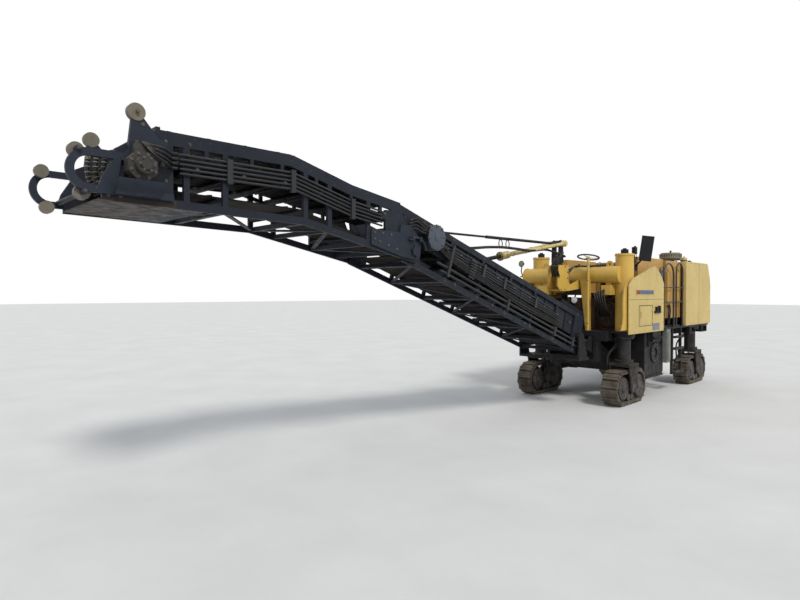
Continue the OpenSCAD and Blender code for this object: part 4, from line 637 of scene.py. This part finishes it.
# lower conveyor section
@part("worn", "steel", "lower_section")
def lower_bolts(s):
    """bolts of idlers, cross bars, posts, bend box and clamps"""
    for side in SIDES:
        for i in range(9):
            s.bolt(lower(0.6 + 0.5 * i, side * LOWER_Y, 0.5197), Y * side, 0.02, 0.02)
        for u in (1.1, 2.1, 3.1, 4.1):
            s.bolt(lower(u, side * LOWER_Y, 0.06), Y * side, 0.016, 0.014)
        for u in (0.33, 1.13, 1.93, 2.73, 3.53, 4.33, 5.0):
            top = LOWER_HIGH - LOWER_TAPER * u / LOWER_LONG
            for w in (0.035, 0.062, top - 0.05, top - 0.022):
                for du in (-0.017, 0.017):
                    s.bolt(lower(u + du, side * LOWER_Y, w), Y * side, 0.009, 0.008)
    s.bolt_circle(lower(BEND_U, 0.709, BEND_W), (ALONG, OUT), 0.155, 8, Y, 0.013, 0.011, HALF_STEP)
    clamps = [(u, w) for u in (0.42, 1.13, 2.73) for w in (0.114, 0.261)]
    clamps += [(u, w) for u in (1.93, 2.93, 3.53) for w in (0.409, 0.576)]
    for u, w in clamps + [(4.33, 0.114), (4.33, 0.576)]:
        s.bolt(lower(u, 0.628, w), Y, 0.01, 0.009)


@part("bluegrey", "steel", "lower_section")
def bend_box_cover(s):
    """eight-sided lid of the bend box with its boss"""
    corners = [turned(a, (ALONG, OUT)) for a in reversed(angles(8, HALF_STEP))]
    s.rings([[lower(BEND_U, y, BEND_W) + e * r for e in corners]
             for y, r in ((0.6995, 0.188), (0.706, 0.188), (0.709, 0.18))])
    s.lathe(lower(BEND_U, 0.708, BEND_W), Y, [(0, 0.05), (0.008, 0.05), (0.011, 0.042), (0.012, 0.01)], 24)


@part("hose", "rubber", "lower_section")
def lower_hoses(s):
    """hoses along the left side from the tail, and out of the bend box"""
    for k in range(4):
        w = 0.3 + 0.026 * k
        s.hose([lower(0.95, 0.6, w + 0.04), lower(1.35, 0.612, w),
                lower(2.3, 0.612, w - 0.022 + 0.01 * (k % 2)), lower(3.1, 0.612, w),
                lower(3.75, 0.634, w + 0.01), lower(4.3, 0.61, w + 0.05), lower(4.62, 0.64, w + 0.1)], 0.011)
    for k in range(4):
        s.hose([lower(4.93, 0.66, 0.6 - 0.03 * k), lower(5.1, 0.69, 0.585 - 0.04 * k),
                lower(5.22, 0.665, 0.62 - 0.05 * k), lower(5.3, 0.61, 0.56 - 0.045 * k)], 0.012)


# the stay's line, from the mast's pin to its eye
A, B = P(MAST_X, 0, PIN_Z), P(5.33, 0.46, 3.18)


@part("hose", "rubber", None)
def stay_hoses(s):
    """hoses that hang along the stay, then follow the left rail"""
    sag = ((0.12, 0.13), (0.28, 0.17), (0.42, 0.155), (0.497, 0.148), (0.553, 0.148), (0.66, 0.165))
    for k in range(4):
        dy, dz = 0.022 * (k % 2) - 0.011, -0.024 * (k // 2)
        pts = [P(1.02, 0.13 + 0.02 * k, 3.03), P(1.16, 0.17, 3.02 + 0.02 * k)]
        pts += [A.lerp(B, t) + Vector((0, dy, dz - drop + 0.004 * k)) for t, drop in sag]
        pts += [A.lerp(B, 0.8) + Vector((0, dy + 0.02, -0.2 + dz)), P(5.05, 0.53 + dy, 2.985 + dz),
                P(5.3, 0.6 + 0.02 * k, 2.93 + dz)]
        s.hose(pts, 0.0125)


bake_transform(stay_hoses)


# fold hinge and upper section
@part("worn", "steel", "upper_section")
def upper_bolts(s):
    """bolts of fold plates, idlers and head plates, and the cover's straps"""
    fold = [(6.3, 2.86), (6.45, 2.9), (6.6, 2.94), (6.69, 2.97), (6.69, 3.05), (6.55, 3.05), (6.4, 3.04)]
    s.side_bolts(fold, UPPER_Y + 0.0245, 0.015, 0.014)
    idlers = [(x, height(CARRY, x) - 0.048) for x in (6.5, 7.0, 7.5, 8.0, 8.5, 9.0, 9.33)]
    s.side_bolts(idlers, UPPER_Y, 0.018, 0.018)
    head = [(9.3, 3.16), (9.3, 3.33), (9.3, 3.5), (9.3, 3.7), (9.42, 3.7), (9.7, 3.14), (9.8, 3.14)]
    s.side_bolts(head, UPPER_Y, 0.013, 0.011)
    for x in (6.4, 6.75, 7.15, 7.55, 8.05, 8.45, 8.85, 9.25):
        z = height(COVER, x)
        s.box(P(x - 0.018, -0.58, z - 0.002), P(x + 0.018, 0.58, z + 0.016))


@part("worn", "steel", "upper_section")
def head_bolts(s):
    """bolts of gearbox, far bearing, rollers and horns"""
    s.bolt_circle(P(HEAD_X, 0.7868, HEAD_Z), (X, Z), 0.108, 8, Y, 0.013, 0.012, HALF_STEP)
    s.bolt_circle(P(HEAD_X, 0.8868, HEAD_Z), (X, Z), 0.06, 6, Y, 0.009, 0.008)
    s.bolt_circle(P(HEAD_X, -0.6928, HEAD_Z), (X, Z), 0.065, 6, -Y, 0.009, 0.008)
    s.side_bolts(HOOKS, 0.7, 0.0132, 0.012)
    s.side_bolts([HORN], 0.7, 0.0144, 0.012)
    s.side_bolts([(9.4, 3.6), (9.58, 3.6), (9.45, 3.52), (9.6, 3.52), (9.52, 3.8)], 0.6663, 0.014, 0.012)


@part("hose", "rubber", "upper_section")
def head_hoses(s):
    """four hoses from the bars to the head's motor"""
    for k in range(4):
        z = 3.595 - 0.045 * k
        s.hose([P(9.2, 0.648, z), P(9.26, 0.66, z - 0.004), P(9.36, 0.725 + 0.012 * k, z + 0.01),
                P(9.47, 0.775 + 0.012 * k, 3.6 - 0.03 * k),
                P(9.535 + 0.02 * (k % 2), 0.72 + 0.035 * (k // 2), 3.618)], 0.0125)


def loop_points(k):
    """line of one of the four hoses looped between the hooks"""
    x, y = 9.7 + 0.055 * k, 0.55 - 0.045 * k
    return [P(9.66, 0.6, 3.56 - 0.02 * k), P(x + 0.01, y + 0.02, 3.55 - 0.02 * k), P(x + 0.04, y, 3.45),
            P(x + 0.035, y, 3.32), P(x - 0.01, y, 3.2 + 0.01 * k)]


@part("hose", "rubber", "upper_section")
def head_hose_loops(s):
    for k in range(4):
        s.tube(loop_points(k), 0.019, 10)


@part("sleeve", "steel", "upper_section")
def head_hose_guards(s):
    """wound wire round the loops"""
    for k in range(4):
        line = smooth(loop_points(k))
        for a, b in zip(line[6::2], line[7::2]):
            s.ring((a + b) / 2, b - a, 0.021, 0.0055, 16)


# swivel head, cross tube and open bay
@part("hose", "rubber", None)
def swivel_hoses(s):
    """hoses that cross from the nose to the swivel head"""
    for k in range(5):
        y = 0.03 + 0.034 * k
        dz = 0.012 * k
        s.hose([P(1.225 - 0.03 * (k % 2), y, 2.62), P(1.3, y + 0.01, 2.74 + 0.01 * k), P(1.29, y + 0.02, 2.9),
                P(1.2, y + 0.045, 3.02 + dz), P(1.06, 0.115 + dz, 3.06 + dz)], 0.0135)


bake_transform(swivel_hoses)


@part("worn", "steel", "slew")
def swivel_bolts(s):
    cheeks = [(0.9, 2.83), (0.9, 2.36), (1.06, 2.36), (0.8, 2.6), (0.8, 2.72), (1.14, 2.6)]
    s.side_bolts(cheeks, 0.12, 0.012, 0.01)
    s.bolt_circle(P(MAST_X, 0, 2.92), (X, Y), 0.078, 8, Z, 0.01, 0.009, HALF_STEP)


@part("hose", "rubber")
def bay_hoses(s):
    """hoses on the cross tube, behind the left column and before the cooler"""
    for k in range(3):
        x, z = 0.105 + 0.045 * k, 2.864 if k == 1 else 2.86
        s.hose([P(x, 0.64, z), P(x, 0.45, z + 0.004), P(x, 0.2, z), P(x + 0.06, 0.02, z + 0.01),
                P(0.45, -0.03 + 0.03 * k, 2.8), P(0.66, -0.02 + 0.03 * k, 2.66),
                P(0.74, -0.01 + 0.03 * k, 2.62)], 0.0145)
    for k in range(5):
        y = 0.5 + 0.05 * k
        s.hose([P(0.36, y, 2.28 + 0.02 * k), P(0.42, y + 0.03, 2.22), P(0.4, y + 0.08, 2.08 - 0.03 * k),
                P(0.24, y + 0.05, 1.96 - 0.02 * k), P(0.1, y - 0.02, 1.88), P(-0.02, y - 0.05, 1.8)], 0.015)
    for k in range(4):
        y = -0.13 * k
        s.hose([P(-0.05, y + 0.18, 1.95), P(0.05, y + 0.16, 1.85 - 0.02 * k), P(0.1, y + 0.12, 1.7),
                P(0.06, y + 0.05, 1.58), P(-0.04, y + 0.02, 1.56)], 0.019, 10)


@part("worn", "steel")
def portal_bolts(s):
    """hose clamps on the cross tube, bolts of column caps, flange and pole"""
    for y in (0.52, 0.3):
        s.box(P(0.075, y - 0.014, 2.838), P(0.23, y + 0.014, 2.884))
    for side in SIDES:
        s.bolt_circle(P(0, side * COLUMN_Y, 3.1), (X, Y), 0.165, 10, Z, 0.011, 0.01, 0.2)
    s.bolt_circle(P(0.17, -1.25, 2.67), (X, Z), 0.14, 8, -Y, 0.013, 0.012, 0.3)
    for z in (1.655, 2.555):
        for dy in (-0.012, 0.012):
            s.bolt(P(POLE_X + 0.026, POLE_Y + dy, z), X, 0.008, 0.008)


@part("black", "black_paint")
def front_lamp(s):
    """round lamp below the cross tube on its bent arm"""
    s.tube([P(0.36, 0.1, 2.375), P(0.36, 0.085, 2.3), P(0.355, 0.065, 2.22)], 0.012, 10)
    shell = [(0, 0.022), (0.006, 0.045), (0.035, 0.07), (0.06, 0.074), (0.066, 0.07)]
    s.lathe(P(0.33, LAMP_Y, LAMP_Z), X, shell, 28)
    s.rod(P(0.355, 0.065, 2.235), P(0.355, LAMP_Y, 2.19), 0.014)


@part("lens", "grey_paint")
def lamp_lenses(s):
    s.lathe(P(0.394, LAMP_Y, LAMP_Z), X, [(0, 0.067), (0.004, 0.066), (0.01, 0.045), (0.013, 0.01)], 28)


@part("khaki", "grey_paint")
def work_lamp_face(s):
    s.lathe(P(0.198, -1.385, 2.97), X, [(0, 0.064), (0.004, 0.063), (0.008, 0.045), (0.01, 0.01)], 28)


# side panels
@part("worn", "steel")
def panel_screws(s):
    """screws round the side panels' sheets and the rear wall"""
    for side in SIDES:
        y = side * PANEL_Y
        places = [(-1.5 + 0.25 * i, 1.48) for i in range(8)]
        places += [(-1.53, z) for z in (1.65, 1.85, 2.05, 2.25, 2.42)]
        places += [(0.27, z) for z in (1.65, 1.85, 2.05, 2.25, 2.4)]
        places += [(0.05, 2.56), (-0.25, 2.645), (-0.55, 2.725), (-0.85, 2.805), (-1.12, 2.84), (-1.33, 2.69)]
        places += [(x, 1.53) for x in (-4.82, -4.5, -4.2, -3.9, -3.6, -3.3, -3.04)]
        places += [(x, 3.02) for x in (-4.55, -4.25, -3.95, -3.65, -3.35, -3.04)]
        places += [(-3.04, z) for z in (1.8, 2.1, 2.4, 2.7)]
        places += [(-4.8, 1.8), (-4.8, 2.1), (-4.8, 2.4), (-4.76, 2.7)]
        for x, z in places:
            s.screw(P(x, y, z), Y * side)
        for x in (-0.965, -0.66, -0.34, -0.035):
            for z in (2.26, 2.35):
                s.screw(P(x, side * (PANEL_Y + 0.005), z), Y * side, 0.007)
    for y in (-1.0, -0.6, -0.2, 0.2, 0.6, 1.0):
        s.screw(P(REAR_X, y, 1.55), -X)
    for y in (-0.9, -0.7, 0.7, 0.9):
        for z, back in ((1.8, 0), (2.1, 0), (2.4, 0.012)):
            s.screw(P(REAR_X + back, y, z), -X)


@part("black", "black_paint")
def panel_seams(s):
    """seams of the front and the rear panel, and the edge round the door"""
    for side in SIDES:
        y, far = sorted((side * PANEL_Y, side * (PANEL_Y + 0.0012)))
        s.box(P(-1.55, y, 2.15), P(0.29, far, 2.156))
        s.box(P(-3.95, y, 1.52), P(-3.944, far, 3.04))
    for x0, z0, x1, z1 in ((-0.905, 1.598, -0.893, 2.028), (-0.207, 1.598, -0.195, 2.028),
                           (-0.905, 2.018, -0.195, 2.03), (-0.905, 1.592, -0.195, 1.602)):
        s.box(P(x0, PANEL_Y - 0.001, z0), P(x1, PANEL_Y + 0.0035, z1))


def make_strip(name, x0, x1, mat, slot):
    """thin plate with a rivet in each corner"""
    face = PANEL_Y + 0.0065
    s = Shape()
    s.box(P(x0, PANEL_Y + 0.004, 2.262), P(x1, face, 2.348))
    for x in (x0 + 0.014, x1 - 0.014):
        for z in (2.276, 2.334):
            s.screw(P(x, face, z), Y, 0.006)
    piece(name, s, mat, slot, bevel=0.001)


make_strip("strip_blue", -0.95, -0.24, "strip", "steel")
make_strip("strip_red", -0.235, -0.045, "dull_red", "orange_paint")


@part("plate", "steel", bevel=0.002)
def corner_plate(s):
    s.box(P(-1.3, PANEL_Y - 0.001, 1.485), P(-0.92, PANEL_Y + 0.007, 1.635))
    for x in (-1.27, -0.95):
        for z in (1.505, 1.615):
            s.screw(P(x, PANEL_Y + 0.007, z), Y, 0.009)


# body's top
@part("black", "black_paint", bevel=0.008)
def column_box(s):
    """small box on a post beside the left column, with its cable"""
    s.rod(P(-0.5, 0.97, 2.895), P(-0.5, COLUMN_Y, 3.13), 0.012, 12)
    s.box(P(-0.545, 0.935, 3.12), P(-0.445, 1.015, 3.27))
    s.rod(P(-0.52, COLUMN_Y, 3.268), P(-0.52, COLUMN_Y, 3.295), 0.02, 14)
    cable = [P(-0.5, 0.995, 3.13), P(-0.5, 1.02, 3.06), P(-0.505, 1.0, 2.98), P(-0.5, COLUMN_Y, 2.92)]
    s.tube(cable, 0.006, 8, 5)


@part("black", "black_paint")
def hood_fittings(s):
    """hinge leaf and handle of each hood lid"""
    for x in (-2.5, -3.1, -3.7, -4.2):
        s.box(P(x - 0.06, -0.53, 3.049), P(x + 0.06, -0.49, 3.062))
        s.tube([P(x - 0.05, -0.75, 3.049), P(x - 0.05, -0.75, 3.085), P(x + 0.05, -0.75, 3.085),
                P(x + 0.05, -0.75, 3.049)], 0.007, 8, 3)


@part("grey", "grey_paint")
def grating_mesh(s):
    """bars of the grating over the ladder bay"""
    for i in range(52):
        x = -2.84 + 0.024 * i
        s.box(P(x, 1.016, 1.5015), P(x + 0.004, 1.114, 1.528))


@part("black", "black_paint")
def rear_mesh(s):
    """woven wires behind the rear grille"""
    for i in range(40):
        y = -0.61 + 1.22 * i / 39
        s.rod(P(-4.876, y, 1.79), P(-4.876, y, 2.41), 0.0025, 6)
    for i in range(20):
        z = 1.81 + 0.58 * i / 19
        s.rod(P(-4.873, -0.63, z), P(-4.873, 0.63, z), 0.0025, 6)


@part("rusty", "steel")
def cooler_fins(s):
    """upright fins in both of the cooler's openings, cut away round the fan"""
    low, high, pitch = 1.52, 2.16, 0.01
    for i in range(74):
        runs = [(-0.995 + pitch * i, low, high)]
        y = 0.265 + pitch * i
        cut = math.sqrt(max(0.0, FAN_R ** 2 - (y - FAN_Y) ** 2))
        runs += [(y, low, FAN_Z - cut), (y, FAN_Z + cut, high)] if cut else [(y, low, high)]
        for y, z0, z1 in runs:
            if z1 - z0 > 0.02:
                s.box(P(-0.2005, y, z0), P(-0.19, y + 0.0035, z1))


@part("worn", "steel")
def fan_guard(s):
    """wire rings and spokes in front of the fan"""
    for r in (0.05, 0.09, 0.13, 0.17, 0.21, 0.247):
        s.ring(P(-0.13, FAN_Y, FAN_Z), X, r, 0.003, 40)
    hub = P(-0.1265, FAN_Y, FAN_Z)
    for a in angles(8, 0.2):
        e = turned(a, (Y, Z))
        s.rod(hub + e * 0.05, hub + e * 0.252, 0.003, 6)


@part("worn", "steel")
def housing_bolts(s):
    """bolts of the cutter's bearings, skids and side plates"""
    for side in SIDES:
        bearing = P(CUTTER_X, side * HOUSING_Y, CUTTER_Z)
        s.bolt_circle(bearing, (X, Z), CUTTER_BOLTS, 12, Y * side, 0.017, 0.015)
    skid = [(x, 0.452) for x in (-1.72, -1.5, -1.3, -1.1, -0.88)]
    s.side_bolts(skid, HOUSING_Y, 0.012, 0.01)
    edge = [(x, 1.4) for x in (-1.78, -1.6, -1.44, -1.16, -1.0, -0.82)]
    s.side_bolts(edge, HOUSING_Y - 0.03, 0.012, 0.01)


@part("worn", "steel", "rear_gate")
def gate_bolts(s):
    for y in (-0.95, -0.75, -0.45, -0.15, 0.15, 0.45, 0.75, 0.95):
        s.bolt(P(-1.885, y, 0.47), -X, 0.013, 0.011)
        s.bolt(P(-1.86, y, 1.13), -X, 0.011, 0.01)


@part("rail", "grey_paint")
def rail_sockets(s):
    """handrail sockets, and clamps at the cross bars"""
    for x in (-1.7, -2.32, -2.48, -2.9, -3.06, -3.46):
        s.lathe(P(x, 1.15, 1.5005), Z, [(0, 0.045), (0.01, 0.045), (0.012, 0.03), (0.05, 0.028)], 20)
        for z in (2.08, 2.42):
            s.lathe(P(x, 1.15, z - 0.02), Z, [(0, 0.0235), (0.04, 0.0235)], 16)


@part("black", "black_paint")
def cleaner_trim(s):
    """ribs and rings round the air cleaner, and the knob on its lid"""
    for a in angles(30):
        e, t = turned(a, (X, Y)), turned(a, (Y, -X))
        s.block(P(CLEANER_X, CLEANER_Y, 3.2078) + e * 0.25, e * 0.004, t * 0.006, Z * 0.03)
    knob = [(0, 0.05), (0.012, 0.05), (0.018, 0.018), (0.035, 0.018), (0.045, 0.028), (0.06, 0.024),
            (0.064, 0.008)]
    s.lathe(P(CLEANER_X, CLEANER_Y, 3.285), Z, knob, 20)
    for z in (3.118, 3.255):
        s.ring(P(CLEANER_X, CLEANER_Y, z), Z, 0.238, 0.008, 48)


@part("black", "black_paint")
def cap_straps(s):
    """ring round each filler cap"""
    s.ring(P(-3.85, 0.85, 3.1103), Z, 0.0615, 0.006)
    s.ring(P(-4.3, 0.85, 3.095), Z, 0.0615, 0.006)
    s.ring(P(-4.08, 0.6, 3.085), Z, 0.0465, 0.006)


@part("pale", "yellow_paint")
def filter_pot(s):
    """round filter on the left rear corner"""
    pot = [(0, 0.075), (0.1, 0.075), (0.125, 0.068), (0.14, 0.045), (0.144, 0.012)]
    s.lathe(P(FILTER_X, FILTER_Y, 3.0503), Z, pot, 28)


@part("black", "black_paint")
def filter_strap(s):
    s.lathe(P(FILTER_X, FILTER_Y, 3.095), Z, [(0, 0.077), (0.022, 0.077)], 28)
    s.box(P(FILTER_X - 0.02, 0.86, 3.095), P(FILTER_X + 0.02, 0.88, 3.117))
    s.rod(P(FILTER_X, FILTER_Y, 3.19), P(FILTER_X, FILTER_Y, 3.215), 0.014, 12)


@part("bluegrey", "steel", bevel=0.008)
def hung_box(s):
    """blue-grey box hung by wires behind the handrails"""
    s.box(P(-1.93, 1.02, 2.56), P(-1.72, 1.07, 2.8))
    s.tube([P(-1.9, 1.045, 2.79), P(-1.9, 1.06, 2.86), P(-1.83, 1.09, 2.9), P(-1.76, 1.06, 2.86),
            P(-1.75, 1.045, 2.79)], 0.008, 8, 5)
    s.tube([P(-1.83, 1.09, 2.898), P(-1.84, 1.02, 2.86), P(-1.85, 0.995, 2.8)], 0.007, 8, 5)


@part("hose", "rubber")
def side_hoses(s):
    """hoses down the inner wall of the ladder bay"""
    for k in range(4):
        x = -2.14 - 0.035 * k
        s.hose([P(x, 1.085, 2.02), P(x - 0.01, 1.1, 1.92), P(x + 0.02, 1.105, 1.78),
                P(x, 1.09, 1.66 - 0.01 * k), P(x - 0.02, 1.07, 1.56)], 0.012)


# operator's place
@part("black", "black_paint", bevel=0.004)
def seat_frame(s):
    """pedestal with its bellows, pan, arm posts, and the back's plate on its bracket"""
    pedestal = [(0, 0.15), (0.012, 0.15), (0.016, 0.065), (0.1, 0.06), (0.11, 0.075), (0.13, 0.075),
                (0.14, 0.06), (0.235, 0.06)]
    s.lathe(P(-1.1, 0, 2.2903), Z, pedestal, 28)
    s.box(P(-1.34, -0.225, 2.525), P(-0.885, 0.225, 2.545))
    for side in SIDES:
        s.box(P(-1.23, side * 0.262 - 0.012, 2.53), P(-1.19, side * 0.262 + 0.012, 2.765))
        foot = [P(-1.21, side * 0.225, 2.535), P(-1.21, side * 0.245, 2.535), P(-1.21, side * 0.262, 2.55)]
        s.tube(foot, 0.012, 8, 4)
    s.block(P(-1.405, 0, 2.8), X * 0.008 - Z * 0.001, Y * 0.19, Z * 0.17 - X * 0.028)
    s.box(P(-1.42, -0.06, 2.535), P(-1.33, 0.06, 2.56))
    s.box(P(-1.42, -0.06, 2.535), P(-1.395, 0.06, 2.75))


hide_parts("operator_station")


def pillow(name, centre, e1, e2, up, half, crown, grooves):
    """crowned cushion with half lengths e1 and e2, half thick along up, and its welt:
    sides pull in between corners, grooves and a border are sewn down on top"""
    n = 30
    pull = 0.035
    up = up.normalized()

    def spread(u, v):
        return centre + e1 * u * (1 - pull * (1 - v * v)) + e2 * v * (1 - pull * (1 - u * u))

    verts, faces, index = [], [], {}
    for layer in (1, -1):
        for i in range(n + 1):
            for j in range(n + 1):
                if layer < 0 and (i in (0, n) or j in (0, n)):
                    index[(layer, i, j)] = index[(1, i, j)]
                    continue
                u, v = 2 * i / n - 1, 2 * j / n - 1
                edge = max(0.0, (1 - abs(u) ** 5) * (1 - abs(v) ** 5)) ** 0.38
                t = half * edge
                if layer > 0:
                    t += crown * (1 - u * u) * (1 - v * v)
                    for g in grooves:
                        t -= 0.01 * math.exp(-((u - g) / 0.045) ** 2) * edge
                    t -= 0.007 * math.exp(-((abs(v) - 0.72) / 0.05) ** 2) * edge
                index[(layer, i, j)] = len(verts)
                verts.append(spread(u, v) + up * t * layer)
    for layer in (1, -1):
        for i in range(n):
            for j in range(n):
                q = [index[(layer, *at)] for at in ((i, j), (i + 1, j), (i + 1, j + 1), (i, j + 1))]
                faces.append(tuple(q if layer > 0 else reversed(q)))
    s = Shape()
    s.add(verts, faces)
    obj = piece(name, s, "vinyl", "black_paint", angle=80)
    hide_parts("operator_station")
    welt = Shape()
    steps = (-0.9, -0.5, 0, 0.5, 0.9)
    rim = [spread(-1, t) for t in steps] + [spread(t, 1) for t in steps]
    rim += [spread(1, -t) for t in steps] + [spread(-t, -1) for t in steps]
    welt.tube(rim + [rim[0]], 0.005, 8, 4)
    piece(name + "_welt", welt, "vinyl", "black_paint")


pillow("seat_cushion", P(-1.11, 0, 2.588), X * 0.235, Y * 0.225, Z, 0.038, 0.014, (-0.35, 0.15, 0.6))
pillow("seat_back", P(-1.365, 0, 2.815), Z * 0.175 - X * 0.03, Y * 0.215, X + Z * 0.17, 0.034, 0.014,
       (-0.5, 0.0, 0.5))
for side, name in ((1, "arm_pad_left"), (-1, "arm_pad_right")):
    pillow(name, P(-1.115, side * 0.272, 2.782), X * 0.132, Y * 0.026, Z, 0.017, 0.003, ())


@part("black", "black_paint", bevel=0.006)
def side_console(s):
    """console with a sloped top and three levers"""
    outline = [(-0.7, 2.2903), (-0.36, 2.2903), (-0.4, 2.76), (-0.64, 2.86), (-0.7, 2.86)]
    s.rings([[P(x, y, z) for x, z in reversed(outline)] for y in (-0.559, -0.261)])
    for k in range(3):
        x, dz = -0.46 - 0.07 * k, 0.028 * k
        s.tube([P(x, -0.36, 2.775 + dz), P(x - 0.01, -0.36, 2.83 + dz), P(x - 0.03, -0.36, 2.88 + dz)],
               0.006, 8, 4)
        knob = [(0, 0.008), (0.01, 0.016), (0.03, 0.016), (0.038, 0.006)]
        s.lathe(P(x - 0.03, -0.36, 2.87 + dz), Z, knob, 14)


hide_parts("operator_station")


@part("grey", "grey_paint")
def console_buttons(s):
    for k in range(4):
        for j in range(3):
            at = P(-0.44 - 0.055 * k, -0.44 - 0.04 * j, 2.776 + 0.0229 * k)
            s.lathe(at, Vector((0.38, 0, 0.92)), [(0, 0.012), (0.004, 0.012), (0.007, 0.009)], 12)


# steering wheel: its middle, its plane and its axle
TILT = math.radians(-12)
WHEEL = P(POLE_X, POLE_Y, 3.04)
AHEAD, AXLE = turned(TILT, (X, -Z)), turned(TILT, (Z, X))


@part("vinyl", "black_paint")
def wheel_rim(s):
    """rim with finger ribs below"""
    s.ring(WHEEL, AXLE, 0.215, 0.0155, 56, 12)
    for a in angles(24):
        e, t = turned(a, (AHEAD, Y)), turned(a, (Y, -AHEAD))
        s.block(WHEEL + e * 0.213 - AXLE * 0.011, e * 0.01, t * 0.011, AXLE * 0.006)


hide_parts("operator_station")


@part("cream", "cream_paint")
def wheel_column(s):
    """three spokes, the hub and the cap on the wheel's pole"""
    for a in angles(3):
        e = turned(a, (AHEAD, Y))
        spoke = [WHEEL + e * 0.03 - AXLE * 0.02, WHEEL + e * 0.1 - AXLE * 0.014, WHEEL + e * 0.205]
        s.tube(spoke, 0.009, 10, 5)
    boss = [(0, 0.03), (0.01, 0.04), (0.035, 0.04), (0.046, 0.028), (0.05, 0.006)]
    s.lathe(WHEEL - AXLE * 0.03, AXLE, boss, 28)
    column = [(0, 0.036), (0.02, 0.036), (0.024, 0.028), (0.235, 0.028), (0.262, 0.022)]
    s.lathe(P(POLE_X, POLE_Y, 2.7603), Z, column, 24)


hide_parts("operator_station")


# mirror and boom
@part("mirror", "steel", bevel=0.0005)
def mirror_glass(s):
    """glass with a raised edge all round, turned as the mirror's housing is"""
    turn = (Matrix.Rotation(math.radians(25), 3, "Z") @ Matrix.Rotation(math.radians(-4), 3, "Y")
            @ Matrix.Rotation(math.radians(-8), 3, "X"))
    centre = P(-0.43, 1.25, 3.22)
    half_y, half_z, edge = 0.106, 0.248, 0.003
    out, across, up = turn @ X, turn @ Y, turn @ Z
    s.block(centre - out * 0.02, out * 0.0008, across * half_y, up * half_z)
    centre -= out * 0.021
    for side in SIDES:
        s.block(centre + across * side * (half_y - edge), out * 0.0012, across * edge, up * half_z)
        s.block(centre + up * side * (half_z - edge), out * 0.0012, across * 0.1, up * edge)


@part("worn", "steel", "boom")
def boom_bands(s):
    """bands along the boom's two arms, and the bolts of its gland"""
    boom = Vector((2.875, 0, -0.493)).normalized()
    upward = Vector((-boom.z, 0, boom.x))
    root = P(MAST_X, 0, PIN_Z)
    for u in (0.35, 0.85, 1.35, 1.75):
        y = 0.15 + (0.055 - 0.15) * u / 1.93
        for side in SIDES:
            s.ring(root + boom * u + Y * side * y, boom, 0.0355, 0.005, 20)
    s.bolt_circle(root + boom * 2.08, (Y, upward), 0.062, 8, boom, 0.008, 0.008)


# stage and light
def make_stage():
    mesh = bpy.data.meshes.new("floor")
    r = 120.0
    mesh.from_pydata([(-r, -r, 0), (r, -r, 0), (r, r, 0), (-r, r, 0)], [], [(0, 1, 2, 3)])
    floor = bpy.data.objects.new("floor", mesh)
    bpy.context.scene.collection.objects.link(floor)
    n = Nodes("floor_pale")
    tone = n.mix(n.ramp(n.noise(0.7, 6.0), 0.3, 0.7), (0.6, 0.6, 0.59), (0.66, 0.66, 0.65))
    n.link(tone, n.shader.inputs["Base Color"])
    n.shader.inputs["Roughness"].default_value = 0.95
    n.bump(n.noise(30.0, 4.0), 0.15, 0.004)
    mesh.materials.append(n.mat)


def make_light():
    """soft sky, white where it is seen, and one broad sun"""
    world = bpy.data.worlds.new("studio")
    bpy.context.scene.world = world
    world.use_nodes = True
    t = world.node_tree
    t.nodes.clear()
    backgrounds = []
    for colour, strength in (((0.86, 0.9, 0.96, 1), 0.75), ((1, 1, 1, 1), 1.0)):
        background = t.nodes.new("ShaderNodeBackground")
        background.inputs["Color"].default_value = colour
        background.inputs["Strength"].default_value = strength
        backgrounds.append(background)
    path = t.nodes.new("ShaderNodeLightPath")
    seen = path.outputs["Is Camera Ray"]
    for ray in ("Is Glossy Ray", "Is Transmission Ray"):
        either = t.nodes.new("ShaderNodeMath")
        either.operation = "MAXIMUM"
        t.links.new(seen, either.inputs[0])
        t.links.new(path.outputs[ray], either.inputs[1])
        seen = either.outputs[0]
    mix = t.nodes.new("ShaderNodeMixShader")
    t.links.new(seen, mix.inputs[0])
    for socket, background in zip(mix.inputs[1:], backgrounds):
        t.links.new(background.outputs[0], socket)
    out = t.nodes.new("ShaderNodeOutputWorld")
    t.links.new(mix.outputs[0], out.inputs[0])
    sun = bpy.data.lights.new("key", "SUN")
    sun.energy = 2.0
    sun.angle = math.radians(12)
    sun.color = (1.0, 0.97, 0.92)
    lamp = bpy.data.objects.new("key", sun)
    bpy.context.scene.collection.objects.link(lamp)
    lamp.matrix_world = Vector((0.25, 0.75, 0.75)).to_track_quat("Z", "Y").to_matrix().to_4x4()


make_stage()
make_light()
bpy.context.scene.view_settings.view_transform = "Standard"
